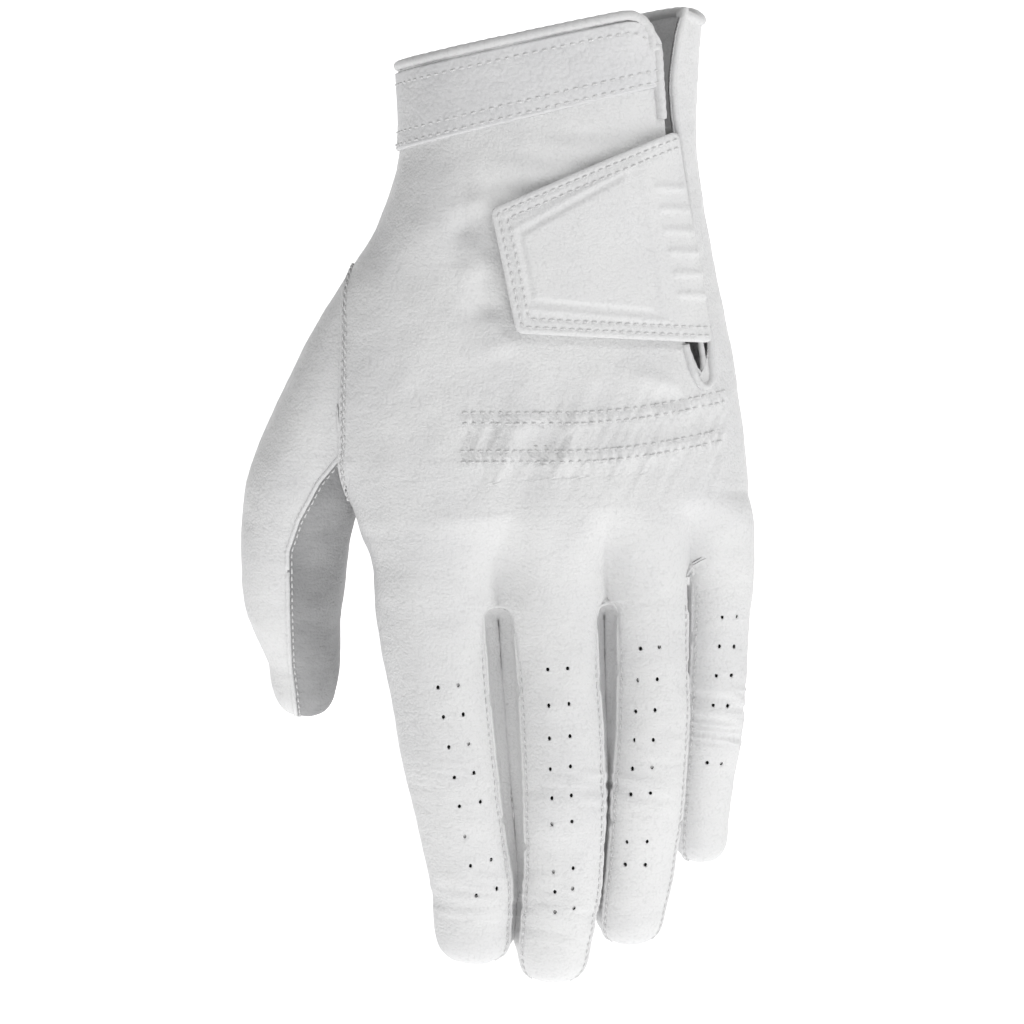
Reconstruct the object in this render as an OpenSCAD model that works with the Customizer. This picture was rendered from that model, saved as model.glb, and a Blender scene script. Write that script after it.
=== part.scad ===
// Left-hand golf glove in soft leather, worn shape, fingers hanging down.
// +Z runs up the forearm, -Y is the back of the hand, +X is the little-finger side.
// The origin is the centre of the cuff opening.

/* [Leather] */
// Thickness of the glove leather
leather_t = 0.6; // [0.5:0.05:0.8]
// Gap left between neighbouring panels at a seam
seam_gap = 0.15; // [0.1:0.05:0.3]

/* [Hand] */
// Length from the cuff opening to the first row of the finger slots
hand_length = 122; // [118:1:126]
// Squareness of the hand's cross-section, 2 is an ellipse
hand_square = 2.4; // [2.2:0.1:2.6]

/* [Closure] */
// Height by which the closure tab stands off the back of the hand
tab_lift = 2.2; // [2.2:0.1:2.6]
// Radius of the rolled binding round the cuff and the slit
binding_r = 1.1; // [0.9:0.1:1.2]

/* [Joints] */
// Furthest bend at the knuckle row, in degrees
knuckle_bend = 70; // [40:1:70]
// Furthest bend at each middle finger joint, in degrees
pip_bend = 85; // [60:1:85]
// Furthest bend at each finger-end joint, in degrees
dip_bend = 55; // [40:1:55]
// Furthest bend of the two thumb joints, in degrees
thumb_bend = 45; // [30:1:50]
// Backward bend that straightens a relaxed joint, in degrees
straighten = 10; // [5:1:12]

/* [Hidden] */
$fn = 24;

leather_white = [0.93, 0.93, 0.92];
trim_white = [0.97, 0.97, 0.97];
fabric_grey = [0.8, 0.8, 0.8];

// Hand stations down from the cuff: height, slope, centre x, centre y, half width, half depth, arch
HAND = [
    [3, 0.21, -0.3, 0, 33.6, 21, 0],
    [-15, 0.24, -0.8, 0, 32.9, 20.5, 1],
    [-32, 0.20, -3, 0, 35.3, 20, 3],
    [-52, 0.08, -5.5, 0, 41.5, 19.5, 6],
    [-72, 0.03, -4.7, 0, 45, 19, 9],
    [-92, 0, -2.4, 0, 45.5, 18, 11],
    [-104, 0, 0.3, 0, 43.3, 17, 12.5],
    [-114, 0, 1.3, 0, 42.3, 16, 13.5],
    [-hand_length, 0, 2.1, 0, 41, 14.8, 14]];

// Finger stations from the knuckle: centre x, y, z, half width, half depth
FINGERS = [
    [[-26, 0, -100, 12.6, 13], [-26.8, 1, -122, 12.1, 11.5], [-21.9, 5.5, -159.5, 10.4, 9.8],
     [-18, 12, -182.6, 9.5, 8.8], [-17.4, 16, -194, 8.7, 8.2], [-17, 19, -201.7, 8.7, 8.2]],
    [[0.5, -1, -101, 11, 13], [0.4, 2, -124, 9.6, 11], [2.4, 7, -162, 9.5, 9.6],
     [1.9, 14, -184.8, 8.6, 8.6], [0.5, 18, -197, 8.1, 8], [-0.4, 21.5, -205.7, 8.1, 8]],
    [[21, 3, -97, 9.5, 12.5], [21.6, 6, -120, 8.2, 10.5], [21.1, 11.5, -158.4, 8.4, 9.0],
     [19.3, 19, -179.3, 7.8, 8.2], [17.8, 23, -190, 7.3, 7.6], [16.8, 26.5, -197.3, 7.3, 7.6]],
    [[35, 9, -90, 8.8, 11], [36.5, 12.8, -108, 8.0, 9.5], [35.6, 20, -142, 7.1, 7.8],
     [34.2, 26.8, -160.6, 6.5, 6.9], [33.3, 31, -172, 6.1, 6.4], [32.6, 34, -179.7, 6.1, 6.4]]];
// Turn of each finger about its length, so that the row of nails follows the arch
FINGER_TURN = [0, 4, 10, 24];
finger_square = 2.2;
TIP = 5;
crotch_back = 1;
crotch_palm = 1.16;
// Length over which a finger slot opens to its full width, in stations
slot_round = 0.1;
// Share of half depth at which a finger's hinge axis lies, towards the palm
axis_depth = 0.1;

// Thumb stations from the hand: centre x, y, z, half width, half depth
THUMB = [
    [-47, 6, -76, 15, 16], [-55.2, 9, -99, 12.6, 12.5], [-57.2, 17, -120.5, 11.2, 10.8],
    [-54.9, 23.5, -135.5, 7.9, 8.6], [-55.6, 28, -147, 7.6, 8.6]];
thumb_turn = 0;
THUMB_TIP = 4;
// The thumb's hole in the side of the hand: middle height, half height, spread to the back and palm
hole_z = -72;
hole_h = 29;
hole_back = 24;
hole_palm = 48;

// The tab's corners on the back of the hand, in x and z: base top, tip top, tip bottom, base bottom
TAB = [[25.8, -19], [-13.4, -36.6], [-8, -63.6], [33.6, -65.6]];
// The slit's two edges down from the cuff: height, thumb side x, little-finger side x
SLIT = [[5, 22, 29], [-6, 23.6, 26.8], [-18, 24.4, 26], [-45, 26.6, 29.9], [-66, 29, 34], [-71, 30.2, 33.8], [-75, 32, 32]];
slit_end = -75;
// Height of the cuff's raw edge on the hand's own rings
cuff_top = 1.5;

// ---------------------------------------------------------------- curves and surfaces

function unit(v) = v / norm(v);
function smooth(t) = let (c = min(1, max(0, t))) c * c * (3 - 2 * c);
function power(v, e) = sign(v) * pow(abs(v), e);
function mix(a, b, t) = a + (b - a) * t;
function flat(rows) = [for (r = rows) each r];

// A Catmull-Rom curve through the rows of a table
function spline(p, t) = let (
    n = len(p) - 1, i = max(0, min(floor(t), n - 1)), f = t - i,
    a = p[max(i - 1, 0)], b = p[i], c = p[i + 1], d = p[min(i + 2, n)])
    b + f / 2 * ((c - a) + f * ((2 * a - 5 * b + 4 * c - d) + f * (3 * b - a - 3 * c + d)));

// The row of a table whose first column falls, at one value of that column
function row_at(p, z) = let (
    i = max([0, for (k = [1 : len(p) - 2]) if (z <= p[k][0]) k]),
    f = (p[i][0] - z) / (p[i][0] - p[i + 1][0]))
    spline(p, i + min(1, max(0, f)));

// A point of the hand: 0 degrees is the little-finger side, 90 the palm, 180 the thumb side, 270 the back
function hand_point(z, angle, inset = 0) = let (
    r = row_at(HAND, z),
    c = power(cos(angle), 2 / hand_square), s = power(sin(angle), 2 / hand_square),
    x = r[2] + (r[4] - inset) * c)
    [x, r[3] + (r[5] - inset) * s + r[6] * pow((1 + c) / 2, 2), z + r[1] * (x - r[2])];

// The height on the hand's own rings of a point at x and z
function ring_height(x, z) = let (
    r = row_at(HAND, z), z1 = z - r[1] * (x - r[2]), q = row_at(HAND, z1))
    z - q[1] * (x - q[2]);

// The angle round the back of the hand at which a ring reaches x
function back_angle(x, ring_z) = let (r = row_at(HAND, ring_z), c = min(1, max(-1, (x - r[2]) / r[4])))
    360 - acos(power(c, hand_square / 2));

// The point of the back of the hand that lies at x and z, seen from the front
function back_point(x, z, inset = 0) = let (
    r = row_at(HAND, ring_height(x, z)), c = min(1, max(-1, (x - r[2]) / (r[4] - inset))))
    [x, r[3] - (r[5] - inset) * pow(1 - pow(abs(c), hand_square), 1 / hand_square)
        + r[6] * pow((1 + c) / 2, 2), z];

// How wide a closed end is at station t, from 1 at the last full station to 0 at the tip
function end_scale(t, last) = let (f = min(1, max(0, t - last + 1))) pow(1 - pow(f, 2.3), 1 / 2.3);

// A point on a finger-shaped tube
function tube_point(rows, turn, t, angle, inset = 0) = let (
    last = len(rows) - 1, c = spline(rows, t),
    ahead = spline(rows, min(last, t + 0.05)), behind = spline(rows, max(0, t - 0.05)),
    along = unit([for (k = [0 : 2]) ahead[k] - behind[k]]),
    palm = unit(cross([cos(turn), sin(turn), 0], along)), across = cross(along, palm),
    e = end_scale(t, last))
    [c[0], c[1], c[2]]
    + across * (c[3] - inset) * e * power(cos(angle), 2 / finger_square)
    + palm * (c[4] - inset) * e * power(sin(angle), 2 / finger_square)
    - along * (t > last - 1 ? inset * (t - last + 1) : 0);

function finger_point(f, t, angle, inset = 0) = tube_point(FINGERS[f], FINGER_TURN[f], t, angle, inset);
function thumb_tube(t, angle, inset = 0) = tube_point(THUMB, thumb_turn, t, angle, inset);

// The length in millimetres of one station step
function step_length(rows, i) = norm([for (k = [0 : 2]) rows[i + 1][k] - rows[i][k]]);

// How far a wall stops short of a joint, so that the bent walls clear each other
function wall_clearance(depth, bend) =
    seam_gap + 0.25 + max(0, depth) * tan(bend / 2) + max(0, -depth) * tan(straighten / 2);
// The depth of a tube's wall at one angle, measured from the hinge axis towards the palm
function wall_depth(row, angle) = row[4] * (power(sin(angle), 2 / finger_square) - axis_depth);
function joint_gap(rows, i, angle, bend) = wall_clearance(wall_depth(rows[i], angle), bend);

// ---------------------------------------------------------------- closed sheets

// A closed sheet between an outer and an inner grid of points. A cell that closed(i, j) rejects is left out.
module sheet(outer, inner, present = function (i, j) true) {
    rows = len(outer) - 1;
    cols = len(outer[0]) - 1;
    m = (rows + 1) * (cols + 1);
    id = function (i, j) i * (cols + 1) + j;
    has = function (i, j) i >= 0 && j >= 0 && i < rows && j < cols && present(i, j);
    quad = function (a, b, c, d) [[a, b, c], [a, c, d]];
    polyhedron(concat(flat(outer), flat(inner)), [
        for (i = [0 : rows - 1], j = [0 : cols - 1]) if (has(i, j)) let (
            a = id(i, j), b = id(i, j + 1), c = id(i + 1, j + 1), d = id(i + 1, j)) each concat(
            quad(a, b, c, d), quad(m + d, m + c, m + b, m + a),
            has(i - 1, j) ? [] : quad(b, a, m + a, m + b),
            has(i + 1, j) ? [] : quad(d, c, m + c, m + d),
            has(i, j - 1) ? [] : quad(a, d, m + d, m + a),
            has(i, j + 1) ? [] : quad(c, b, m + b, m + c))]);
}

// A sheet over the unit square, from a surface point(u, v, inset)
module surface_sheet(point, nu, nv, top, bottom) {
    grid = function (inset) [for (i = [0 : nu]) [for (j = [0 : nv]) point(i / nu, j / nv, inset)]];
    sheet(grid(top), grid(bottom));
}

// A closed tube along a list of points
module tube(path, r, sides = 8) {
    n = len(path) - 1;
    rings = [for (i = [0 : n]) let (
        d = unit(path[min(n, i + 1)] - path[max(0, i - 1)]),
        side = unit(cross(d, [0.3, 1, 0.1])), up = cross(side, d))
        [for (k = [0 : sides - 1]) path[i] + r * (cos(360 * k / sides) * side + sin(360 * k / sides) * up)]];
    polyhedron(flat(rings), concat(
        [[for (k = [0 : sides - 1]) k]],
        [for (i = [0 : n - 1], k = [0 : sides - 1]) let (
            a = i * sides + k, b = i * sides + (k + 1) % sides) each
            [[a, a + sides, b + sides], [a, b + sides, b]]],
        [[for (k = [sides - 1 : -1 : 0]) n * sides + k]]));
}

// ---------------------------------------------------------------- hand

// The knuckle axis: a line across the hand, from the index knuckle to the little finger's
knuckle_index = [-25, 0, -102];
knuckle_little = [35, 8, -97];
function knuckle_z(x) = mix(knuckle_index[2], knuckle_little[2],
    (x - knuckle_index[0]) / (knuckle_little[0] - knuckle_index[0]));
function knuckle_y(x) = mix(knuckle_index[1], knuckle_little[1],
    (x - knuckle_index[0]) / (knuckle_little[0] - knuckle_index[0]));
// The height at which the hand's wall stops above (side 1) or below (side -1) the knuckle axis
function knuckle_edge(angle, side) = let (
    p = hand_point(-98, angle), depth = p[1] - knuckle_y(p[0]))
    knuckle_z(p[0]) + side * (wall_clearance(depth, knuckle_bend) + 0.3);

// The half-oval of the thumb's hole, in degrees round the hand, at one height
function hole_spread(z) = let (q = (z - hole_z) / hole_h) abs(q) < 1 ? sqrt(1 - q * q) : 0;
seam_angle = 0.7;
side_lean = 8;
function back_left(z) = 180 - side_lean + (side_lean + hole_back) * hole_spread(z) + seam_angle;
function palm_left(z) = 180 - side_lean - (hole_palm - side_lean) * hole_spread(z) - seam_angle;

function slit_edges(z) = row_at(SLIT, z);

function slit_angle(z, side) = let (s = slit_edges(z))
    back_angle(side < 0 ? s[1] - seam_gap : s[2] + seam_gap, z);

// The cuff flap hinges on the line from the slit's end to the top of the little-finger side
flap_top_angle = 351;
function flap_line(z) = mix(flap_top_angle, slit_angle(slit_end, -1), min(1, (3 - z) / (3 - slit_end)));

// The hand's rows down to the slit's end, closer together round the top of the thumb's hole, then on to the knuckles
HAND_ROWS = [cuff_top, -7, -15, -23, -31, -37.5, -42.4, -43.6, -45.4, -48.5, -53, -58, -63.5, -69, slit_end];
slit_rows = len(HAND_ROWS) - 1;
lower_rows = 6;
// The back's columns up to the slit, then beyond the flap
inner_cols = 14;
outer_cols = 3;
function back_col_angle(j, z) = j <= inner_cols
    ? mix(back_left(z), slit_angle(z, -1), j / inner_cols)
    : mix(max(flap_line(z), slit_angle(z, 1)) + 1.2, 360 - side_lean, (j - inner_cols - 1) / outer_cols);
function back_grid_point(i, j, inset) = let (
    z0 = HAND_ROWS[min(i, slit_rows)], a0 = back_col_angle(j, z0),
    z = i <= slit_rows ? z0 : mix(slit_end, knuckle_edge(a0, 1), (i - slit_rows) / lower_rows),
    share = (a0 - back_left(z0)) / (360 - side_lean - back_left(z0)))
    hand_point(z, i <= slit_rows ? a0 : mix(back_left(z), 360 - side_lean, share), inset);

module back_of_hand() {
    grid = function (inset) [for (i = [0 : slit_rows + lower_rows])
        [for (j = [0 : inner_cols + 1 + outer_cols]) back_grid_point(i, j, inset)]];
    color(leather_white) sheet(grid(0), grid(leather_t),
        function (i, j) j != inner_cols || i >= slit_rows);
}

// Where the flap narrows to nothing beside the slit
flap_end = -47;
module cuff_flap() {
    skin = function (u, v, inset) let (z = mix(cuff_top, flap_end, u))
        hand_point(z, mix(slit_angle(z, 1), flap_line(z), v), inset);
    color(leather_white) surface_sheet(skin, 10, 3, 0, leather_t);
}

// The angle of the palm at share v across it, at one height
function palm_angle(v, z) = mix(-side_lean + seam_angle, palm_left(z), v);
// The height at which a line down the palm meets the fold at the knuckles, found by halving
function palm_edge(v, low = -100, high = -84, steps = 14) = let (m = (low + high) / 2)
    steps == 0 ? m
    : m > knuckle_edge(palm_angle(v, m), 1) ? palm_edge(v, low, m, steps - 1)
    : palm_edge(v, m, high, steps - 1);

module palm_of_hand() {
    cols = 18;
    grid = function (inset) [for (i = [0 : slit_rows + lower_rows]) [for (j = [0 : cols]) let (
        z = i <= slit_rows ? HAND_ROWS[i] : mix(slit_end, palm_edge(j / cols), (i - slit_rows) / lower_rows))
        hand_point(z, palm_angle(j / cols, z), inset)]];
    color(leather_white) sheet(grid(0), grid(leather_t));
}

module palm_fold() {
    skin = function (u, v, inset) let (
        w = mix(0.07, 0.965, v), low = knuckle_edge(palm_angle(w, -110), -1),
        z = mix(palm_edge(w) - 0.5, low + 0.6, u))
        hand_point(z, palm_angle(w, z), inset);
    color(leather_white) surface_sheet(skin, 6, 16, 0, leather_t);
}

// ---------------------------------------------------------------- thumb

// The rim of the thumb's hole; angle 180 is its top, 270 its back edge, 0 the crotch, 90 its palm edge
function hole_point(angle, inset = 0) = let (
    spread = sin(angle) < 0 ? hole_back + side_lean : hole_palm - side_lean)
    hand_point(hole_z - (hole_h - 0.3) * cos(angle), 180 - side_lean - sin(angle) * (spread - 0.5), inset);

// The thumb's outer surface: from the hole's rim it swells into a tube; at the crotch it runs straight across
function thumb_surface(t, angle) = let (
    rim = hole_point(angle), end = thumb_tube(1, angle), reach = norm(end - rim),
    along = unit(thumb_tube(1.05, angle) - end),
    direct = rim + (end - rim) * t * t * (3 - 2 * t) + along * reach * (t * t * t - t * t))
    t >= 1 ? thumb_tube(t, angle)
    : mix(mix(rim, thumb_tube(t, angle), smooth(t)), direct, pow((1 + cos(angle)) / 2, 1.5));
// Its outward direction, from two short steps along it
function thumb_outward(t, angle) = unit(cross(
    thumb_surface(t + 0.04, angle) - thumb_surface(max(0, t - 0.04), angle),
    thumb_surface(t, angle + 2) - thumb_surface(t, angle - 2)));
function thumb_point(t, angle, inset = 0) = t >= 1 ? thumb_tube(t, angle, inset)
    : thumb_surface(t, angle) - inset * thumb_outward(t, angle);
// Length in millimetres of a station step just above the thumb's base joint
function thumb_step(angle) = norm(thumb_surface(1, angle) - thumb_surface(0.9, angle)) / 0.1;

module thumb_panel(t0, t1, from, to, rows, bend0, bend1) {
    skin = function (u, v, inset) let (
        a = mix(from, to, v),
        g0 = t0 == 0 ? 0 : joint_gap(THUMB, t0, a, bend0) / step_length(THUMB, t0),
        g1 = t1 == THUMB_TIP ? 0
            : joint_gap(THUMB, t1, a, bend1) / (t1 == 1 ? thumb_step(a) : step_length(THUMB, t1 - 1)),
        closing = t1 == THUMB_TIP ? sin(90 * u) : u)
        thumb_point(mix(t0 + g0, t1 - g1, closing), a, inset);
    color(leather_white) surface_sheet(skin, rows, 10, 0, leather_t);
}
outer_from = 91;
outer_to = 269;
inner_from = -89;
inner_to = 89;

// The stitched patch inside the crotch of the thumb
module thumb_web_patch() {
    skin = function (u, v, inset)
        thumb_point(mix(0.2, 0.7, u), mix(-40, 40, v), inset);
    color(leather_white) surface_sheet(skin, 4, 6, leather_t + 0.4, 2 * leather_t + 0.3);
}

// ---------------------------------------------------------------- cuff

module cuff_band() {
    skin = function (u, v, inset) let (z = mix(1, -15.5, u))
        hand_point(z, mix(192, slit_angle(z, -1) - 3, v), inset);
    color(leather_white) surface_sheet(skin, 3, 14, -0.7, -0.2);
}

// The cuff's edge, from the slit round the thumb side and the palm to the flap
function binding_point(angle) = hand_point(cuff_top, angle, leather_t / 2) + [0, 0, binding_r + 0.1];
// The little-finger side's edge of the palm, where the binding ends
binding_end = -side_lean;

module cuff_binding() {
    ring = [for (k = [0 : 34]) binding_point(mix(slit_angle(cuff_top, -1) - 2, binding_end, k / 34))];
    color(trim_white) tube(ring, binding_r, 6);
}

module flap_binding() {
    ring = [for (k = [0 : 4]) binding_point(mix(slit_angle(cuff_top, 1) + 1, flap_top_angle - 3, k / 4))];
    color(trim_white) tube(ring, binding_r, 6);
}

// A woven band under the leather, from one angle round the hand to another
module inner_band(z0, z1, from, to, gap, thickness) {
    skin = function (u, v, inset) hand_point(mix(z0, z1, u), mix(from, to, v), inset);
    surface_sheet(skin, 2, 16, leather_t + gap, leather_t + gap + thickness);
}

// A band under the back of the hand between two x values
module back_band(z, slope, height, x0, x1) {
    skin = function (u, v, inset) let (x = mix(x0, x1, v))
        back_point(x, z + slope * pow(max(0, x), 2) - height * (u - 0.5), inset);
    color(fabric_grey) surface_sheet(skin, 2, 14, leather_t + 0.25, leather_t + 0.85);
}
elastic_rows = [-82.2, -90.6];
elastic_slope = 0.0035;
elastic_height = 5;
module upper_elastic() back_band(elastic_rows[0], elastic_slope, elastic_height, -19.5, 38);
module lower_elastic() back_band(elastic_rows[1], elastic_slope, elastic_height, -20, 37);

module wrist_elastic() color(fabric_grey) inner_band(-24, -31, 25, 150, 0.15, 0.7);
module size_label() color(trim_white) inner_band(-4, -14, 78, 102, 0.15, 0.3);

// ---------------------------------------------------------------- closure

// A point over the tab: u runs from its base to its tip, v from its top edge to its bottom edge
function tab_point(u, v, inset) = let (
    p = mix(mix(TAB[0], TAB[1], u), mix(TAB[3], TAB[2], u), v))
    back_point(p[0], p[1], inset);
module tab_layer(u0, u1, v0, v1, low, thickness) {
    skin = function (u, v, inset) tab_point(mix(u0, u1, v), mix(v0, v1, u), inset);
    surface_sheet(skin, 5, 12, -low - thickness, -low);
}
hook_low = tab_lift - 1;
module loop_patch() {
    skin = function (u, v, inset) let (
        p = mix(mix([18, -24], [-8, -37], v), mix([20, -61], [-4, -60.5], v), u)) back_point(p[0], p[1], inset);
    color(fabric_grey) surface_sheet(skin, 5, 8, -0.8, -0.2);
}
module hook_pad() color(fabric_grey) tab_layer(0.35, 0.95, 0.1, 0.9, hook_low, 0.4);
module tab_backing() color(fabric_grey) tab_layer(0.02, 1, 0, 1, hook_low + 0.5, 0.4);
module tab_leather() color(leather_white) tab_layer(0.02, 0.985, 0.02, 0.98, tab_lift, leather_t);
module tab_raised_panel() color(leather_white) tab_layer(0.3, 0.86, 0.2, 0.82, tab_lift + leather_t + 0.05, 0.5);

// ---------------------------------------------------------------- threads

thread_r = 0.2;
thread_up = thread_r + 0.12;
// A thread along a surface point(s, inset) for s from 0 to 1, resting on a layer whose top is that high
module thread(point, steps, top = 0) color(trim_white)
    tube([for (k = [0 : steps]) point(k / steps, -top - thread_up)], thread_r, 4);

module cuff_threads() {
    for (z = [-1.5, -11.5, -14.3])
        thread(function (s, inset) hand_point(z, mix(194, slit_angle(z, -1) - 5, s), inset), 16, 0.7);
}
module elastic_threads() {
    for (row = elastic_rows, side = [-1, 1])
        thread(function (s, inset) let (x = mix(-19, 37.5, s))
            back_point(x, row + side * 1.2 + elastic_slope * pow(max(0, x), 2), inset), 18);
}
module thumb_threads() {
    for (out = [1.3, 2.8])
        thread(function (s, inset) let (z = mix(hole_z + hole_h - 4, hole_z - hole_h + 6, s))
            hand_point(z, back_left(z) + out, inset), 14);
}
module tab_threads() {
    for (m = [0.06, 0.12])
        thread(function (s, inset) let (
            q = s * 3,
            p = q < 1 ? [mix(0.06, 1 - m * 0.7, q), m] : q < 2 ? [1 - m * 0.7, mix(m, 1 - m, q - 1)]
                : [mix(1 - m * 0.7, 0.06, q - 2), 1 - m]) tab_point(p[0], p[1], inset), 21, tab_lift + leather_t);
}

// ---------------------------------------------------------------- fingers

// The angles round each finger at which its back, side and palm panels meet
seam_at = 22;
finger_seam_gap = 1.2;
// The knuckle row's borders between fingers, in x
BORDERS = [-11.3, 11.3, 29.3];

// A finger's angle for u across its back (side 1) or its palm (side -1), from the thumb side over to the other
function across_angle(f, u, side) = let (
    left = f == 0 ? -side_lean * side : seam_at, right = f == 3 ? side_lean * side : seam_at)
    side > 0 ? mix(180 + left + (f == 0 ? 0 : finger_seam_gap), 360 - right - (f == 3 ? 0 : finger_seam_gap), u)
    : mix(180 - (f == 0 ? side_lean + seam_angle : seam_at) - (f == 0 ? 0 : finger_seam_gap),
          f == 3 ? -side_lean + seam_angle : seam_at + finger_seam_gap, u);
// The hand's own angle for the same place at the knuckle row
function border_angle(k, side) = let (z = -100)
    k < 0 ? (side > 0 ? 180 - side_lean + seam_angle : 180 - side_lean - seam_angle)
    : k > 2 ? (side > 0 ? 360 - side_lean : -side_lean + seam_angle)
    : side > 0 ? back_angle(BORDERS[k], z) : 360 - back_angle(BORDERS[k], z);

// Where two fingers' edges meet above their slot, half way between them
function valley(f, t, side, inset) =
    (finger_point(f, t, across_angle(f, 1, side), inset)
        + finger_point(f + 1, t, across_angle(f + 1, 0, side), inset)) / 2;
// How far the slot is still closed at station t: 1 above the crotch, 0 where it is fully open
function slot_pull(t, crotch) = t <= crotch ? 1 : 1 - sqrt(1 - pow(1 - min(1, (t - crotch) / slot_round), 2));

// A finger's panel, pulled to its neighbours above the crotch
function row_bent(f, t, u, side, inset) = let (
    crotch = side > 0 ? crotch_back : crotch_palm,
    own = finger_point(f, t, across_angle(f, u, side), inset),
    left = f == 0 ? [0, 0, 0] : (valley(f - 1, t, side, inset) - finger_point(f, t, across_angle(f, 0, side), inset)),
    right = f == 3 ? [0, 0, 0] : (valley(f, t, side, inset) - finger_point(f, t, across_angle(f, 1, side), inset)),
    pull = t <= crotch ? 1 : slot_pull(t, crotch))
    own + pull * (left * pow(1 - u, 3) + right * pow(u, 3));
// The same panel, blended into the hand at the knuckles
function row_point(f, t, u, side, inset) = let (
    bent = row_bent(f, t, u, side, inset),
    angle = mix(border_angle(f - 1, side), border_angle(f, side), u),
    z = mix(knuckle_edge(angle, -1), row_bent(f, 1, u, side, inset)[2], t),
    p = mix(hand_point(z, angle, inset), bent, smooth(t)))
    t >= 1 ? bent : [p[0], p[1], z];

knuckle_rows = 5;
finger_rows = 7;
strip_cols = 6;
// The stations of the knuckle row's grid: above the crotch, round it and down to the middle joint
function row_station(i, f, u, side) = let (
    crotch = side > 0 ? crotch_back : crotch_palm,
    a = across_angle(f, u, side),
    end = 2 - joint_gap(FINGERS[f], 2, a, pip_bend) / step_length(FINGERS[f], 1),
    q = (i - knuckle_rows) / finger_rows)
    i <= knuckle_rows ? crotch * i / knuckle_rows : mix(crotch, end, pow(q, 1.6));

module knuckle_row(side) {
    grid = function (inset) [for (i = [0 : knuckle_rows + finger_rows]) [for (f = [0 : 3], j = [0 : strip_cols])
        row_point(f, row_station(i, f, j / strip_cols, side), j / strip_cols, side, inset)]];
    color(leather_white) sheet(grid(0), grid(leather_t),
        function (i, j) j % (strip_cols + 1) < strip_cols || i < knuckle_rows);
}

// The strip between two fingers: down the side of one, round the crotch, and down the side of the other
function fourchette_point(f, s, v, inset) = let (
    q = abs(s),
    finger = s < 0 ? f : f + 1,
    angle = s < 0 ? mix(360 - seam_at + finger_seam_gap, 360 + seam_at - finger_seam_gap, v)
        : mix(180 + seam_at - finger_seam_gap, 180 - seam_at + finger_seam_gap, v),
    start = mix(crotch_back, crotch_palm, v) + 0.02,
    a = s < 0 ? angle - 360 : angle,
    end = 2 - joint_gap(FINGERS[finger], 2, a, pip_bend) / step_length(FINGERS[finger], 1),
    t = mix(start, end, q * q),
    p = finger_point(finger, t, angle, inset),
    other = finger_point(s < 0 ? f + 1 : f, t, s < 0 ? 180 - (angle - 360) : 180 - angle, inset),
    pull = slot_pull(t, start - 0.0001) / 2)
    p + (other - p) * pull;

module fourchette(f) {
    n = 6;
    skin = function (inset) [for (i = [-n : n]) [for (j = [0 : 4]) fourchette_point(f, i == 0 ? 0 : i / n, j / 4, inset)]];
    color(leather_white) sheet(skin(0), skin(leather_t));
}

// One panel of a finger past its middle joint; part 0 is the middle piece and 1 the tip
module finger_panel(f, part, from, to, cols) {
    rows = FINGERS[f];
    t0 = 2 + part;
    t1 = part == 0 ? 3 : TIP;
    skin = function (u, v, inset) let (
        a = mix(from, to, v),
        g0 = joint_gap(rows, t0, a, part == 0 ? pip_bend : dip_bend) / step_length(rows, t0),
        g1 = part == 0 ? joint_gap(rows, t1, a, dip_bend) / step_length(rows, t0) : 0)
        finger_point(f, part == 0 ? mix(t0 + g0, t1 - g1, u) : mix(t0 + g0, t1, sin(90 * u)), a, inset);
    color(leather_white) surface_sheet(skin, part == 0 ? 4 : 8, cols, 0, leather_t);
}
module finger_back(f, part) finger_panel(f, part, 180 + seam_at + finger_seam_gap, 360 - seam_at - finger_seam_gap, 8);
module finger_palm(f, part) finger_panel(f, part, seam_at + finger_seam_gap, 180 - seam_at - finger_seam_gap, 8);
module finger_sides(f, part) {
    finger_panel(f, part, -seam_at + finger_seam_gap, seam_at - finger_seam_gap, 2);
    finger_panel(f, part, 180 - seam_at + finger_seam_gap, 180 + seam_at - finger_seam_gap, 2);
}

// ---------------------------------------------------------------- nodes

back_of_hand();
palm_of_hand();
palm_fold();
thumb_panel(0, 1, outer_from, outer_to, 7, 0, thumb_bend);  // thumb_base_outer
thumb_panel(0, 1, inner_from, inner_to, 7, 0, thumb_bend);  // thumb_base_inner
thumb_panel(1, 2, outer_from, outer_to, 4, thumb_bend, thumb_bend);  // thumb_mid_outer
thumb_panel(1, 2, inner_from, inner_to, 4, thumb_bend, thumb_bend);  // thumb_mid_inner
thumb_panel(2, 4, outer_from, outer_to, 8, thumb_bend, 0);  // thumb_tip_outer
thumb_panel(2, 4, inner_from, inner_to, 8, thumb_bend, 0);  // thumb_tip_inner
thumb_web_patch();
cuff_band();
cuff_binding();
loop_patch();
upper_elastic();
lower_elastic();
wrist_elastic();
size_label();
cuff_threads();
elastic_threads();
thumb_threads();
cuff_flap();
flap_binding();
tab_leather();
tab_backing();
tab_raised_panel();
hook_pad();
tab_threads();
knuckle_row(1);  // back_of_knuckles
knuckle_row(-1);  // palm_of_knuckles
fourchette(0);  // fourchette_index_middle
fourchette(1);  // fourchette_middle_ring
fourchette(2);  // fourchette_ring_little
for (f = [0 : 3], part = [0 : 1]) {
    name = str(["index", "middle", "ring", "little"][f], "_", ["middle", "tip"][part]);
    finger_back(f, part);
    finger_palm(f, part);
    finger_sides(f, part);
}
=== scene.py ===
"""A left-hand leather golf glove, cuff up and fingers hanging down, seen on the back of the hand.
All shapes are worked out in millimetres in the CAD frame and written to Blender in metres."""

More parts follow.
